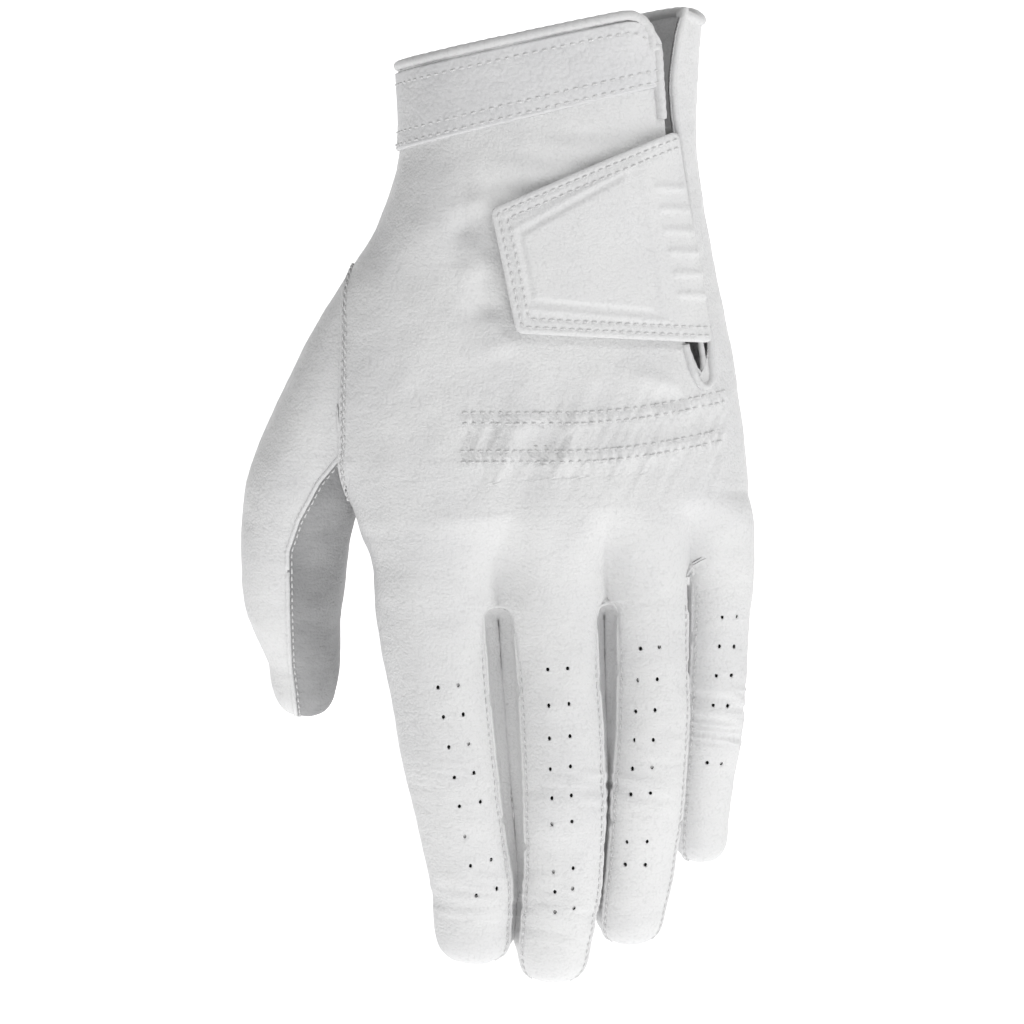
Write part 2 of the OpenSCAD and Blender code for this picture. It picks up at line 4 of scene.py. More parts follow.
import math
import bpy
import numpy as np
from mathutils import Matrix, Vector


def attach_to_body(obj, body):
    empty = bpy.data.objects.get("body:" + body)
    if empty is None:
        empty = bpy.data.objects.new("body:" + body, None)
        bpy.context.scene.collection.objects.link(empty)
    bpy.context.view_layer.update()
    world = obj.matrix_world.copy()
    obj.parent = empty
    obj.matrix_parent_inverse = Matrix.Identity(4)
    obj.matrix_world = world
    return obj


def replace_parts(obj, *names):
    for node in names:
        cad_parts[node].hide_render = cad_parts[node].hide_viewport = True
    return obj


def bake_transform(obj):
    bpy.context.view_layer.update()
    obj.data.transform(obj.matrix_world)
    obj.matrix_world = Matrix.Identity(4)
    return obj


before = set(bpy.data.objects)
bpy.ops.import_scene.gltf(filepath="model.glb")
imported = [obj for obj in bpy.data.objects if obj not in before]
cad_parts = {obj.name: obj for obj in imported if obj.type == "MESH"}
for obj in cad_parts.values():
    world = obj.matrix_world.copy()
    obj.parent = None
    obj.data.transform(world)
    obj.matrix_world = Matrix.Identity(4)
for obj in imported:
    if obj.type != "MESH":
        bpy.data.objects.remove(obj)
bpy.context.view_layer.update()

MM = 0.001
FINGER_NAMES = ["index", "middle", "ring", "little"]
PAIRS = ["index_middle", "middle_ring", "ring_little"]

# ------------------------------------------------------------------ the hand's shape, as in the CAD

# height, slope, centre x, centre y, half width, half depth, arch
HAND = np.array([
    [3, 0.21, -0.3, 0, 33.6, 21, 0], [-15, 0.24, -0.8, 0, 32.9, 20.5, 1],
    [-32, 0.20, -3, 0, 35.3, 20, 3], [-52, 0.08, -5.5, 0, 41.5, 19.5, 6],
    [-72, 0.03, -4.7, 0, 45, 19, 9], [-92, 0, -2.4, 0, 45.5, 18, 11],
    [-104, 0, 0.3, 0, 43.3, 17, 12.5], [-114, 0, 1.3, 0, 42.3, 16, 13.5],
    [-122, 0, 2.1, 0, 41, 14.8, 14]], float)
# centre x, y, z, half width, half depth
FINGERS = np.array([
    [[-26, 0, -100, 12.6, 13], [-26.8, 1, -122, 12.1, 11.5], [-21.9, 5.5, -159.5, 10.4, 9.8],
     [-18, 12, -182.6, 9.5, 8.8], [-17.4, 16, -194, 8.7, 8.2], [-17, 19, -201.7, 8.7, 8.2]],
    [[0.5, -1, -101, 11, 13], [0.4, 2, -124, 9.6, 11], [2.4, 7, -162, 9.5, 9.6],
     [1.9, 14, -184.8, 8.6, 8.6], [0.5, 18, -197, 8.1, 8], [-0.4, 21.5, -205.7, 8.1, 8]],
    [[21, 3, -97, 9.5, 12.5], [21.6, 6, -120, 8.2, 10.5], [21.1, 11.5, -158.4, 8.4, 9.0],
     [19.3, 19, -179.3, 7.8, 8.2], [17.8, 23, -190, 7.3, 7.6], [16.8, 26.5, -197.3, 7.3, 7.6]],
    [[35, 9, -90, 8.8, 11], [36.5, 12.8, -108, 8.0, 9.5], [35.6, 20, -142, 7.1, 7.8],
     [34.2, 26.8, -160.6, 6.5, 6.9], [33.3, 31, -172, 6.1, 6.4], [32.6, 34, -179.7, 6.1, 6.4]]], float)
FINGER_TURN = [0, 4, 10, 24]
THUMB = np.array([
    [-47, 6, -76, 15, 16], [-55.2, 9, -99, 12.6, 12.5], [-57.2, 17, -120.5, 11.2, 10.8],
    [-54.9, 23.5, -135.5, 7.9, 8.6], [-55.6, 28, -147, 7.6, 8.6]], float)
# height, thumb side x, little-finger side x of the slit
SLIT = np.array([
    [5, 22, 29], [-6, 23.6, 26.8], [-18, 24.4, 26], [-45, 26.6, 29.9],
    [-66, 29, 34], [-71, 30.2, 33.8], [-75, 32, 32]], float)
TAB = np.array([[25.8, -19], [-13.4, -36.6], [-8, -63.6], [33.6, -65.6]], float)
HAND_SQUARE, FINGER_SQUARE, TIP_SQUARE = 2.4, 2.2, 2.3
HOLE_Z, HOLE_H, HOLE_BACK, HOLE_PALM = -72.0, 29.0, 24.0, 48.0
SIDE_LEAN, SEAM_AT = 8.0, 22.0
CUFF_TOP, SLIT_END = 1.5, -75.0
FLAP_TOP_ANGLE, FLAP_END = 351.0, -50.2
KNUCKLE_A, KNUCKLE_B = np.array([-25, 0, -102.0]), np.array([35, 8, -97.0])
BORDERS = [-11.3, 11.3, 29.3]
LEATHER = 0.6
# the rounded corner between the cuff's rim and the slit: its side's x, and its radius
CORNER_X, CORNER_R = 22.6, 7.0
# the knuckles: the gap under their axis, and how fast the edge there falls towards the palm and the back
KNUCKLE_GAP, PALM_FAN, BACK_FAN = 0.7, math.tan(math.radians(35)), math.tan(math.radians(5))
# fingers: the gap between their sides, and the stations at which the way across it is tabled
SIDE_GAP, FINGER_GRID, CLOSING = 0.06, np.linspace(0, 5, 201), {}
# slots, on the back (1) and palm (-1): the closed end's station, its rounding, and how far the pull reaches
CROTCH, SLOT_ROUND, PULL_REACH = {1: 1.0, -1: 1.16}, 0.1, {1: 0.40, -1: 0.25}
# the strips' way down from the knuckles: steepest slope against the whole drop, and the slope at the start
STEEPEST_FALL, FIRST_FALL = 2.8, 0.55


def spline(rows, t):
    """Catmull-Rom through the rows of a table."""
    n = len(rows) - 1
    t = np.asarray(t, float)
    i = np.clip(np.floor(t).astype(int), 0, n - 1)
    f = (t - i)[..., None]
    a, b = rows[np.maximum(i - 1, 0)], rows[i]
    c, d = rows[i + 1], rows[np.minimum(i + 2, n)]
    return b + f / 2 * ((c - a) + f * ((2 * a - 5 * b + 4 * c - d) + f * (3 * b - a - 3 * c + d)))


def power(v, e):
    return np.sign(v) * np.abs(v) ** e


def smooth(t):
    c = np.clip(t, 0, 1)
    return c * c * (3 - 2 * c)


def mix(a, b, t):
    return a + (b - a) * t


def unit(v):
    return v / np.maximum(np.linalg.norm(v, axis=-1, keepdims=True), 1e-12)


def rows_at(table, z):
    z = np.asarray(z, float)
    return spline(table, np.interp(-z, -table[:, 0], np.arange(len(table))))


def hand_point(z, angle, inset=0.0):
    """0 degrees is the little-finger side, 90 the palm, 180 the thumb side, 270 the back."""
    z, angle = np.broadcast_arrays(np.asarray(z, float), np.asarray(angle, float))
    r = rows_at(HAND, z)
    c = power(np.cos(np.radians(angle)), 2 / HAND_SQUARE)
    s = power(np.sin(np.radians(angle)), 2 / HAND_SQUARE)
    x = r[..., 2] + (r[..., 4] - inset) * c
    y = r[..., 3] + (r[..., 5] - inset) * s + r[..., 6] * ((1 + c) / 2) ** 2
    return np.stack([x, y, z + r[..., 1] * (x - r[..., 2])], -1)


def back_angle(x, ring_z):
    r = rows_at(HAND, ring_z)
    c = np.clip((x - r[..., 2]) / r[..., 4], -1, 1)
    return 360 - np.degrees(np.arccos(power(c, HAND_SQUARE / 2)))


def back_point(x, z, inset=0.0):
    """The point of the back of the hand that lies at x and z, seen from the front."""
    x, z = np.broadcast_arrays(np.asarray(x, float), np.asarray(z, float))
    ring = z
    for _ in range(4):
        r = rows_at(HAND, ring)
        ring = z - r[..., 1] * (x - r[..., 2])
    r = rows_at(HAND, ring)
    c = np.clip((x - r[..., 2]) / (r[..., 4] - inset), -1, 1)
    y = (r[..., 3] - (r[..., 5] - inset) * (1 - np.abs(c) ** HAND_SQUARE) ** (1 / HAND_SQUARE)
         + r[..., 6] * ((1 + c) / 2) ** 2)
    return np.stack([x, y, z], -1)


def tube_frame(rows, turn, t):
    last = len(rows) - 1
    ahead = spline(rows, np.minimum(last, t + 0.05))[..., :3]
    behind = spline(rows, np.maximum(0, t - 0.05))[..., :3]
    along = unit(ahead - behind)
    side = np.array([math.cos(math.radians(turn)), math.sin(math.radians(turn)), 0])
    palm = unit(np.cross(side, along))
    return along, palm, np.cross(along, palm)


def tube_point(rows, turn, t, angle):
    t, angle = np.broadcast_arrays(np.asarray(t, float), np.asarray(angle, float))
    last = len(rows) - 1
    c = spline(rows, t)
    _, palm, across = tube_frame(rows, turn, t)
    f = np.clip(t - last + 1, 0, 1)
    e = ((1 - f ** TIP_SQUARE) ** (1 / TIP_SQUARE))[..., None]
    a = np.radians(angle)
    return (c[..., :3]
            + across * c[..., 3:4] * e * power(np.cos(a), 2 / FINGER_SQUARE)[..., None]
            + palm * c[..., 4:5] * e * power(np.sin(a), 2 / FINGER_SQUARE)[..., None])


def bare_finger(f, t, angle):
    return tube_point(FINGERS[f], FINGER_TURN[f], t, angle)


def reach_out(f, g, t, own_angle, other_angle):
    """Half the way from the side of finger f to the side of its neighbour g at the same height."""
    t = np.asarray(t, float)
    grid = np.linspace(0, 5, 301)
    height = bare_finger(g, grid, other_angle)[:, 2]
    own = bare_finger(f, t, own_angle)
    match = np.interp(-own[..., 2], -height, grid)
    half = (bare_finger(g, match, other_angle) - own) / 2
    size = np.linalg.norm(half, axis=-1, keepdims=True)
    half = half * np.clip(size - SIDE_GAP, 0, 3.2) / np.maximum(size, 1e-6)
    fade = smooth((t - 1.0) / 0.15) * (1 - smooth((np.maximum(t, match) - 4.25) / 0.6))
    return half * fade[..., None]


def closing(f, way, t):
    """How far the side of finger f swells towards its neighbour on one side, from a table."""
    if (f, way) not in CLOSING:
        angles = (18.0, 162.0) if way > 0 else (162.0, 18.0)
        CLOSING[f, way] = reach_out(f, f + way, FINGER_GRID, *angles)
    table = CLOSING[f, way]
    return np.stack([np.interp(t, FINGER_GRID, table[:, k]) for k in range(3)], -1)


def finger_point(f, t, angle):
    """The finger's tube, its sides swollen until they rest against their neighbours."""
    p = bare_finger(f, t, angle)
    t, angle = np.broadcast_arrays(np.asarray(t, float), np.asarray(angle, float))
    for way in (-1, 1):
        if 0 <= f + way <= 3:
            a = way * ((angle + (180 if way > 0 else 0)) % 360 - 180)
            share = smooth((a + 6) / 18) * (1 - smooth((a - 24) / 45))
            p = p + closing(f, way, t) * share[..., None]
    return p


def hole_spread(z):
    q = (np.asarray(z, float) - HOLE_Z) / HOLE_H
    return np.sqrt(np.clip(1 - q * q, 0, 1))


def back_left(z):
    return 180 - SIDE_LEAN + (SIDE_LEAN + HOLE_BACK) * hole_spread(z)


def palm_left(z):
    return 180 - SIDE_LEAN - (HOLE_PALM - SIDE_LEAN) * hole_spread(z)


def slit_angle(z, side):
    s = rows_at(SLIT, z)
    return back_angle(s[..., 1] if side < 0 else s[..., 2], z)


def flap_line(z):
    return mix(FLAP_TOP_ANGLE, slit_angle(SLIT_END, -1), np.clip((3 - z) / (3 - SLIT_END), 0, 1))


def cuff_drop(angle):
    """How far the cuff's rim hangs below its plane: most at the little-finger side."""
    a = (np.asarray(angle, float) + 180) % 360 - 180
    return 4.4 * np.exp(-((a + 8) / 30) ** 2)


def corner_drop(angle):
    """The rounded corner between the cuff's rim and the slit."""
    x = hand_point(CUFF_TOP, angle)[..., 0]
    q = np.clip(x - (CORNER_X - CORNER_R), 0, CORNER_R * 0.985)
    return CORNER_R - np.sqrt(CORNER_R ** 2 - q * q)


def knuckle_edge(angle):
    """The height, below the knuckle axis, at which the hand's rings give way to the fingers' tubes."""
    p = hand_point(-98, angle)
    share = (p[..., 0] - KNUCKLE_A[0]) / (KNUCKLE_B[0] - KNUCKLE_A[0])
    axis = KNUCKLE_A + share[..., None] * (KNUCKLE_B - KNUCKLE_A)
    depth = p[..., 1] - axis[..., 1]
    return axis[..., 2] - (KNUCKLE_GAP + np.maximum(0, depth) * PALM_FAN + np.maximum(0, -depth) * BACK_FAN)


def across_angle(f, u, side):
    left = SIDE_LEAN if f == 0 else SEAM_AT
    right = SIDE_LEAN if f == 3 else SEAM_AT
    if side > 0:
        return mix(180 + (-left if f == 0 else left), 360 - right, u)
    return mix(180 - left, -right if f == 3 else right, u)


def border_angle(k, side):
    if k < 0:
        return 180 - SIDE_LEAN
    if k > 2:
        return 360 - SIDE_LEAN if side > 0 else -SIDE_LEAN
    a = float(back_angle(np.float64(BORDERS[k]), np.float64(-100.0)))
    return a if side > 0 else 360 - a


def slot_pull(t, crotch):
    q = np.clip((t - crotch) / SLOT_ROUND, 0, 1)
    return np.where(t <= crotch, 1.0, 1 - np.sqrt(np.clip(1 - (1 - q) ** 2, 0, 1)))


def pull_share(t, crotch):
    """The pull across the slot lets go at once, the pull along the finger over a longer way."""
    reach = mix(PULL_REACH[1], PULL_REACH[-1], (crotch - CROTCH[1]) / (CROTCH[-1] - CROTCH[1]))
    across, down = slot_pull(t, crotch), 1 - smooth((t - crotch) / reach)
    return np.stack([across, across, down + 0 * across], -1)


def valley(f, t, side):
    """The middle of the slot between fingers f and f + 1."""
    return (finger_point(f, t, across_angle(f, 1.0, side))
            + finger_point(f + 1, t, across_angle(f + 1, 0.0, side))) / 2


def row_bent(f, t, u, side):
    """A finger's panel, pulled to its neighbours above the crotch. Below it the edges let go at once."""
    point = finger_point(f, t, across_angle(f, u, side))
    slow = (1 - smooth((t - CROTCH[side]) / PULL_REACH[side]))[..., None]
    fast = pull_share(t, CROTCH[side]) - slow
    for slot, edge, share in ((f - 1, 0.0, (1 - u)[..., None]), (f, 1.0, u[..., None])):
        if 0 <= slot <= 2:
            way = valley(slot, t, side) - finger_point(f, t, across_angle(f, edge, side))
            point = point + way * share ** 3 * (slow + fast * share ** 8)
    return point


def fall_rate(f):
    """How fast a finger's own line drops where it leaves the hand."""
    ends = bare_finger(f, np.array([0.97, 1.03]), 270.0)[:, 2]
    return (ends[1] - ends[0]) / 0.06


def row_fall(f, u):
    """The same across a panel, halfway to the neighbour's at the panel's edges."""
    fall = fall_rate(f) + 0 * u
    if f > 0:
        fall = fall + (fall_rate(f - 1) - fall_rate(f)) / 2 * (1 - u) ** 3
    if f < 3:
        fall = fall + (fall_rate(f + 1) - fall_rate(f)) / 2 * u ** 3
    return fall


def row_point(f, t, u, side):
    """The same panel, blended into the hand's rings at the knuckles."""
    t, u = np.broadcast_arrays(np.asarray(t, float), np.asarray(u, float))
    bent = row_bent(f, t, u, side)
    angle = mix(border_angle(f - 1, side), border_angle(f, side), u)
    q, start = np.clip(t, 0, 1), knuckle_edge(angle)
    drop = row_bent(f, np.ones_like(t), u, side)[..., 2] - start
    fall = np.maximum(row_fall(f, u), STEEPEST_FALL * drop)
    z = (start + drop * q * q * (3 - 2 * q) + FIRST_FALL * drop * q * (1 - q) ** 2
         + fall * (q ** 3 - q * q))
    base = hand_point(z, angle)
    p = mix(base, bent, smooth(t)[..., None])
    p[..., 2] = z + (base[..., 2] - z) * (1 - q)
    return np.where((t >= 1)[..., None], bent, p)


def hole_point(angle):
    spread = np.where(np.sin(np.radians(angle)) < 0, HOLE_BACK + SIDE_LEAN, HOLE_PALM - SIDE_LEAN)
    return hand_point(HOLE_Z - HOLE_H * np.cos(np.radians(angle)),
                      180 - SIDE_LEAN - np.sin(np.radians(angle)) * spread)


def thumb_point(t, angle):
    """From the hole's rim the thumb swells into a tube; at the crotch it runs straight across."""
    t, angle = np.broadcast_arrays(np.asarray(t, float), np.asarray(angle, float))
    rim, end = hole_point(angle), tube_point(THUMB, 0, 1.0, angle)
    along = unit(tube_point(THUMB, 0, 1.05, angle) - end)
    reach = np.linalg.norm(end - rim, axis=-1, keepdims=True)
    q = np.clip(t, 0, 1)[..., None]
    direct = rim + (end - rim) * q * q * (3 - 2 * q) + along * reach * (q ** 3 - q * q)
    own = tube_point(THUMB, 0, t, angle)
    share = ((1 + np.cos(np.radians(angle))) / 2)[..., None] ** 1.5
    return np.where((t >= 1)[..., None], own, mix(mix(rim, own, smooth(q)), direct, share))


# ------------------------------------------------------------------ noise and small folds

def hash_noise(i, j, k, seed):
    n = (i * 374761393 + j * 668265263 + k * 2147483647 + seed * 974711) & 0xFFFFFFFF
    n = ((n ^ (n >> 13)) * 1274126177) & 0xFFFFFFFF
    return ((n ^ (n >> 16)) & 0xFFFF) / 32767.5 - 1


def noise(p, scale, seed=0):
    """Smooth value noise in -1..1; scale is the size of its lumps in millimetres."""
    q = np.asarray(p, float) / scale + 1000.0
    i = np.floor(q).astype(np.int64)
    f = q - i
    f = f * f * f * (f * (6 * f - 15) + 10)
    total = 0.0
    for a, b, c in np.ndindex(2, 2, 2):
        weight = np.abs(1 - a - f[..., 0]) * np.abs(1 - b - f[..., 1]) * np.abs(1 - c - f[..., 2])
        total = total + weight * hash_noise(i[..., 0] + a, i[..., 1] + b, i[..., 2] + c, seed)
    return total


def segment_distance(x, z, a, b):
    ab = np.array(b, float) - a
    s = np.clip(((x - a[0]) * ab[0] + (z - a[1]) * ab[1]) / (ab @ ab), 0, 1)
    return np.hypot(x - a[0] - s * ab[0], z - a[1] - s * ab[1]), s


ELASTIC_ROWS = [-82.2, -90.6]
ELASTIC_SLOPE = 0.0035
STITCH_OFFSET = 1.2


def elastic_z(x, row):
    return row + ELASTIC_SLOPE * np.maximum(0, x) ** 2


# soft folds of the back: start, end, width, height, which is negative for a hollow
FOLDS = [
    ((-16, -26), (6, -30), 2.6, 0.55), ((-18, -31), (-2, -33.5), 2.0, -0.5),
    ((-20, -36), (-13, -34.5), 2.4, 0.5), ((-24, -42), (-14, -40), 3.2, -0.75),
    ((-22, -52), (-11, -47), 3.0, 0.6), ((-20, -60), (-10, -57), 2.6, -0.7),
    ((-16, -67), (-6, -66), 2.4, 0.5), ((-6, -22), (14, -25), 2.2, 0.45),
    ((2, -19.5), (20, -21), 1.6, -0.4), ((-14, -100), (-4, -70), 2.6, 0.35),
    ((-8, -104), (2, -72), 2.2, -0.35), ((-2, -106), (8, -74), 2.4, 0.35), ((16, -72), (29, -76), 2.0, 0.5),
    ((20, -79), (31, -78), 1.6, -0.4), ((-33, -38), (-20, -44), 4.0, 0.4),
    ((-38, -50), (-24, -52), 4.0, -0.4), ((-30, -18), (-22, -30), 4.0, -0.35),
    ((-8, -125), (-9, -104), 4.5, -0.5), ((12, -122), (12, -104), 4.5, -0.45)]
# creases across the fingers: x, z, reach along the finger, height
FINGER_CREASES = [(-18, -186, 7, 0.22), (1, -187.5, 8, 0.22), (18, -163, 8, 0.22), (37, -148, 9, 0.34),
                  (2, -163, 6, 0.12), (-22, -160, 6, 0.10)]
# the leather's unevenness: size, height, seed
LUMPS = [(13, 0.36, 1), (5.2, 0.17, 2), (2.0, 0.05, 3)]


def folds(x, z):
    total = 0.0
    for a, b, width, height in FOLDS:
        d, s = segment_distance(x, z, np.array(a, float), b)
        total = total + height * np.exp(-(d / width) ** 2) * np.sin(np.pi * np.clip(s, 0.08, 0.92))
    return total


def gather(x, z):
    """Ripples of the leather gathered by the two elastic bands, and the fine creases between them."""
    reach = smooth((x + 21) / 3) * smooth((40 - x) / 4)
    total = 0.0
    for row in ELASTIC_ROWS:
        off = z - elastic_z(x, row)
        ripple = np.sin(2 * np.pi * (x + 0.25 * off) / 2.1) * np.exp(-(off / 1.9) ** 2)
        total = total + 0.34 * ripple + 0.35 * np.exp(-(off / 2.2) ** 2)
        for side in (-1, 1):
            total = total - 0.16 * np.exp(-((off - side * STITCH_OFFSET) / 0.45) ** 2)
    zone = np.exp(-((z + 86.5) / 10) ** 2)
    slant = np.stack([(x - 0.45 * z) / 1.0, 0 * x, z / 9 + x / 30], -1)
    return reach * (total + zone * 0.42 * noise(slant, 1.0, 5))


def cross_creases(x, z, y):
    """Creases across the fingers where they bend."""
    total = 0.0
    for centre_x, centre_z, reach_z, height in FINGER_CREASES:
        zone = np.exp(-((x - centre_x) / 10) ** 4 - ((z - centre_z) / reach_z) ** 2)
        stretched = np.stack([x / 7, y / 9, z + 0.12 * x], -1)
        total = total + height * zone * (1 - 2 * np.abs(noise(stretched, 1.7, 11)))
    return total


def leather_shift(p, normal):
    """How far the leather stands off its smooth surface, in millimetres."""
    x, y, z = p[..., 0], p[..., 1], p[..., 2]
    back, palm = smooth(-normal[..., 1] * 2.0), smooth(normal[..., 1] * 2.0)
    hand_zone = smooth((z + 128) / 8) * smooth((6 - z) / 4)
    rough = sum(height * noise(p, size, seed) for size, height, seed in LUMPS)
    palm_line = 0.35 * palm * hand_zone * noise(np.stack([x / 1.4, y, z], -1), 8, 8)
    return (rough + back * hand_zone * (1.7 * folds(x, z) + gather(x, z)) + 1.5 * cross_creases(x, z, y)
            + palm_line)


# ------------------------------------------------------------------ mesh tools

def grid_faces(rows, cols, start=0, flip=False):
    i, j = np.meshgrid(np.arange(rows - 1), np.arange(cols - 1), indexing="ij")
    a = (start + i * cols + j).ravel()
    quads = np.stack([a, a + cols, a + cols + 1, a + 1], -1)
    return quads[:, ::-1] if flip else quads


def weld(grids, flips, spare=None):
    """One mesh from point grids, joined where their points meet. spare says how many rows at the start and
    end of each grid only serve to find the slope there; the last result marks the faces to keep."""
    points, faces, keep, start = [], [], [], 0
    for n, (g, flip) in enumerate(zip(grids, flips)):
        rows, cols = g.shape[:2]
        points.append(g.reshape(-1, 3))
        faces.append(grid_faces(rows, cols, start, flip))
        row = np.repeat(np.arange(rows - 1), cols - 1)
        first, last = spare[n] if spare else (0, 0)
        keep.append((row >= first) & (row < rows - 1 - last))
        start += rows * cols
    points, faces, keep = np.concatenate(points), np.concatenate(faces), np.concatenate(keep)
    key = np.round(points / 0.004).astype(np.int64)
    _, first, back = np.unique(key, axis=0, return_index=True, return_inverse=True)
    return points[first], back.reshape(-1)[faces], keep


def vertex_normals(points, faces):
    a, b, c, d = (points[faces[:, k]] for k in range(4))
    n = np.cross(c - a, d - b)
    total = np.zeros_like(points)
    for k in range(4):
        np.add.at(total, faces[:, k], n)
    return unit(total)


def clean(faces):
    """Faces as tuples, with repeated corners dropped."""
    out = []
    for f in faces:
        f = [int(v) for v in f]
        g = [v for k, v in enumerate(f) if v != f[k - 1]]
        if len(set(g)) >= 3:
            out.append(tuple(dict.fromkeys(g)))
    return out


def add_mesh(name, points, faces, materials, picks=None):
    """A smooth-shaded object from points in millimetres. picks gives each face its material."""
    mesh = bpy.data.meshes.new(name)
    mesh.from_pydata((np.asarray(points) * MM).tolist(), [], [tuple(f) for f in faces])
    for m in materials:
        mesh.materials.append(m)
    if picks is not None:
        mesh.polygons.foreach_set("material_index", np.asarray(picks, np.int32))
    mesh.polygons.foreach_set("use_smooth", [True] * len(mesh.polygons))
    mesh.update()
    obj = bpy.data.objects.new(name, mesh)
    bpy.context.scene.collection.objects.link(obj)
    return obj


def thin_sheet(name, grid, thickness, material, place, replaces, flip=False):
    """A point grid with a thickness on its inner side, fastened to its place."""
    obj = add_mesh(name, grid.reshape(-1, 3), clean(grid_faces(*grid.shape[:2], flip=flip)), [material])
    solid = obj.modifiers.new("thickness", "SOLIDIFY")
    solid.thickness, solid.offset, solid.use_rim, solid.use_even_offset = thickness * MM, -1, True, False
    attach(obj, place)
    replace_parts(obj, replaces)
    return obj


def resample(path, step):
    """Evenly spaced points along a path; columns past the third go along."""
    path = np.asarray(path, float)
    s = np.concatenate([[0], np.cumsum(np.linalg.norm(np.diff(path[:, :3], axis=0), axis=1))])
    at = np.linspace(0, s[-1], max(2, int(round(s[-1] / step)) + 1))
    return np.stack([np.interp(at, s, path[:, k]) for k in range(path.shape[1])], -1)


def with_normals(points, normals, step):
    """A path and its normals, evenly spaced."""
    both = resample(np.concatenate([points, normals], 1), step)
    return both[:, :3], unit(both[:, 3:])


def path_frames(points, normals):
    along = unit(np.gradient(points, axis=0))
    side = unit(np.cross(normals, along))
    return along, side, unit(np.cross(along, side))


def sweep(points, normals, profile):
    """Verts and faces of a closed profile of (side, up) offsets, given for each point of a path."""
    _, side, up = path_frames(points, normals)
    n, m = profile.shape[:2]
    verts = points[:, None] + side[:, None] * profile[..., :1] + up[:, None] * profile[..., 1:]
    faces = []
    for i in range(n - 1):
        for k in range(m):
            a, b = i * m + k, i * m + (k + 1) % m
            faces.append((a, b, b + m, a + m))
    faces.append(tuple(range(m - 1, -1, -1)))
    faces.append(tuple(range((n - 1) * m, n * m)))
    return verts.reshape(-1, 3), faces


def merge(parts):
    verts, faces, start = [], [], 0
    for v, f in parts:
        verts.append(v)
        faces.extend([tuple(x + start for x in face) for face in f])
        start += len(v)
    return np.concatenate(verts), faces


def stitch_parts(points, normals, pitch, length, radius, top):
    """Short threads along a path: each dips into the leather at its two ends."""
    p, nrm = with_normals(points, normals, pitch)
    along, side, up = path_frames(p, nrm)
    s = np.array([-0.5, -0.36, 0.0, 0.36, 0.5])
    height = np.array([-0.30, 0.02, top, 0.02, -0.30])
    thick = np.array([0.55, 0.95, 1.0, 0.95, 0.55]) * radius
    a = np.arange(6) * np.pi / 3
    faces = [(i * 6 + k, i * 6 + (k + 1) % 6, (i + 1) * 6 + (k + 1) % 6, (i + 1) * 6 + k)
             for i in range(4) for k in range(6)]
    faces += [tuple(range(5, -1, -1)), tuple(range(24, 30))]
    parts = []
    for k in range(len(p)):
        centre = p[k] + along[k] * (s[:, None] * length) + up[k] * height[:, None]
        ring = side[k] * np.cos(a)[:, None] + up[k] * np.sin(a)[:, None]
        parts.append(((centre[:, None] + ring[None] * thick[:, None, None]).reshape(-1, 3), faces))
    return parts


# ------------------------------------------------------------------ materials

def principled(name, colour, roughness):
    """A new material, its node tree and its shader."""
    mat = bpy.data.materials.new(name)
    mat.use_nodes = True
    shader = mat.node_tree.nodes["Principled BSDF"]
    shader.inputs["Base Color"].default_value = (*colour, 1)
    shader.inputs["Roughness"].default_value = roughness
    return mat, mat.node_tree, shader


def feed(nt, socket, value):
    """Sets an input to a value, or links it to the output that feeds it."""
    if isinstance(value, bpy.types.NodeSocket):
        nt.links.new(value, socket)
    else:
        socket.default_value = value


def node(nt, kind, inputs, **settings):
    """Adds a node with its settings and its inputs."""
    new = nt.nodes.new("ShaderNode" + kind)
    for key, value in settings.items():
        setattr(new, key, value)
    for key, value in inputs.items():
        feed(nt, new.inputs[key], value)
    return new


def object_place(nt):
    return node(nt, "TexCoord", {}).outputs["Object"]


def colour_blend(nt, low, high, factor):
    """A colour between low and high."""
    ramp = node(nt, "ValToRGB", {"Fac": factor})
    ramp.color_ramp.elements[0].color = (*low, 1)
    ramp.color_ramp.elements[1].color = (*high, 1)
    return ramp


def map_range(nt, value, low, high, **ends):
    """A value moved from one range to another; ends may set where the first range starts and stops."""
    return node(nt, "MapRange", {"Value": value, "To Min": low, "To Max": high, **ends}).outputs["Result"]


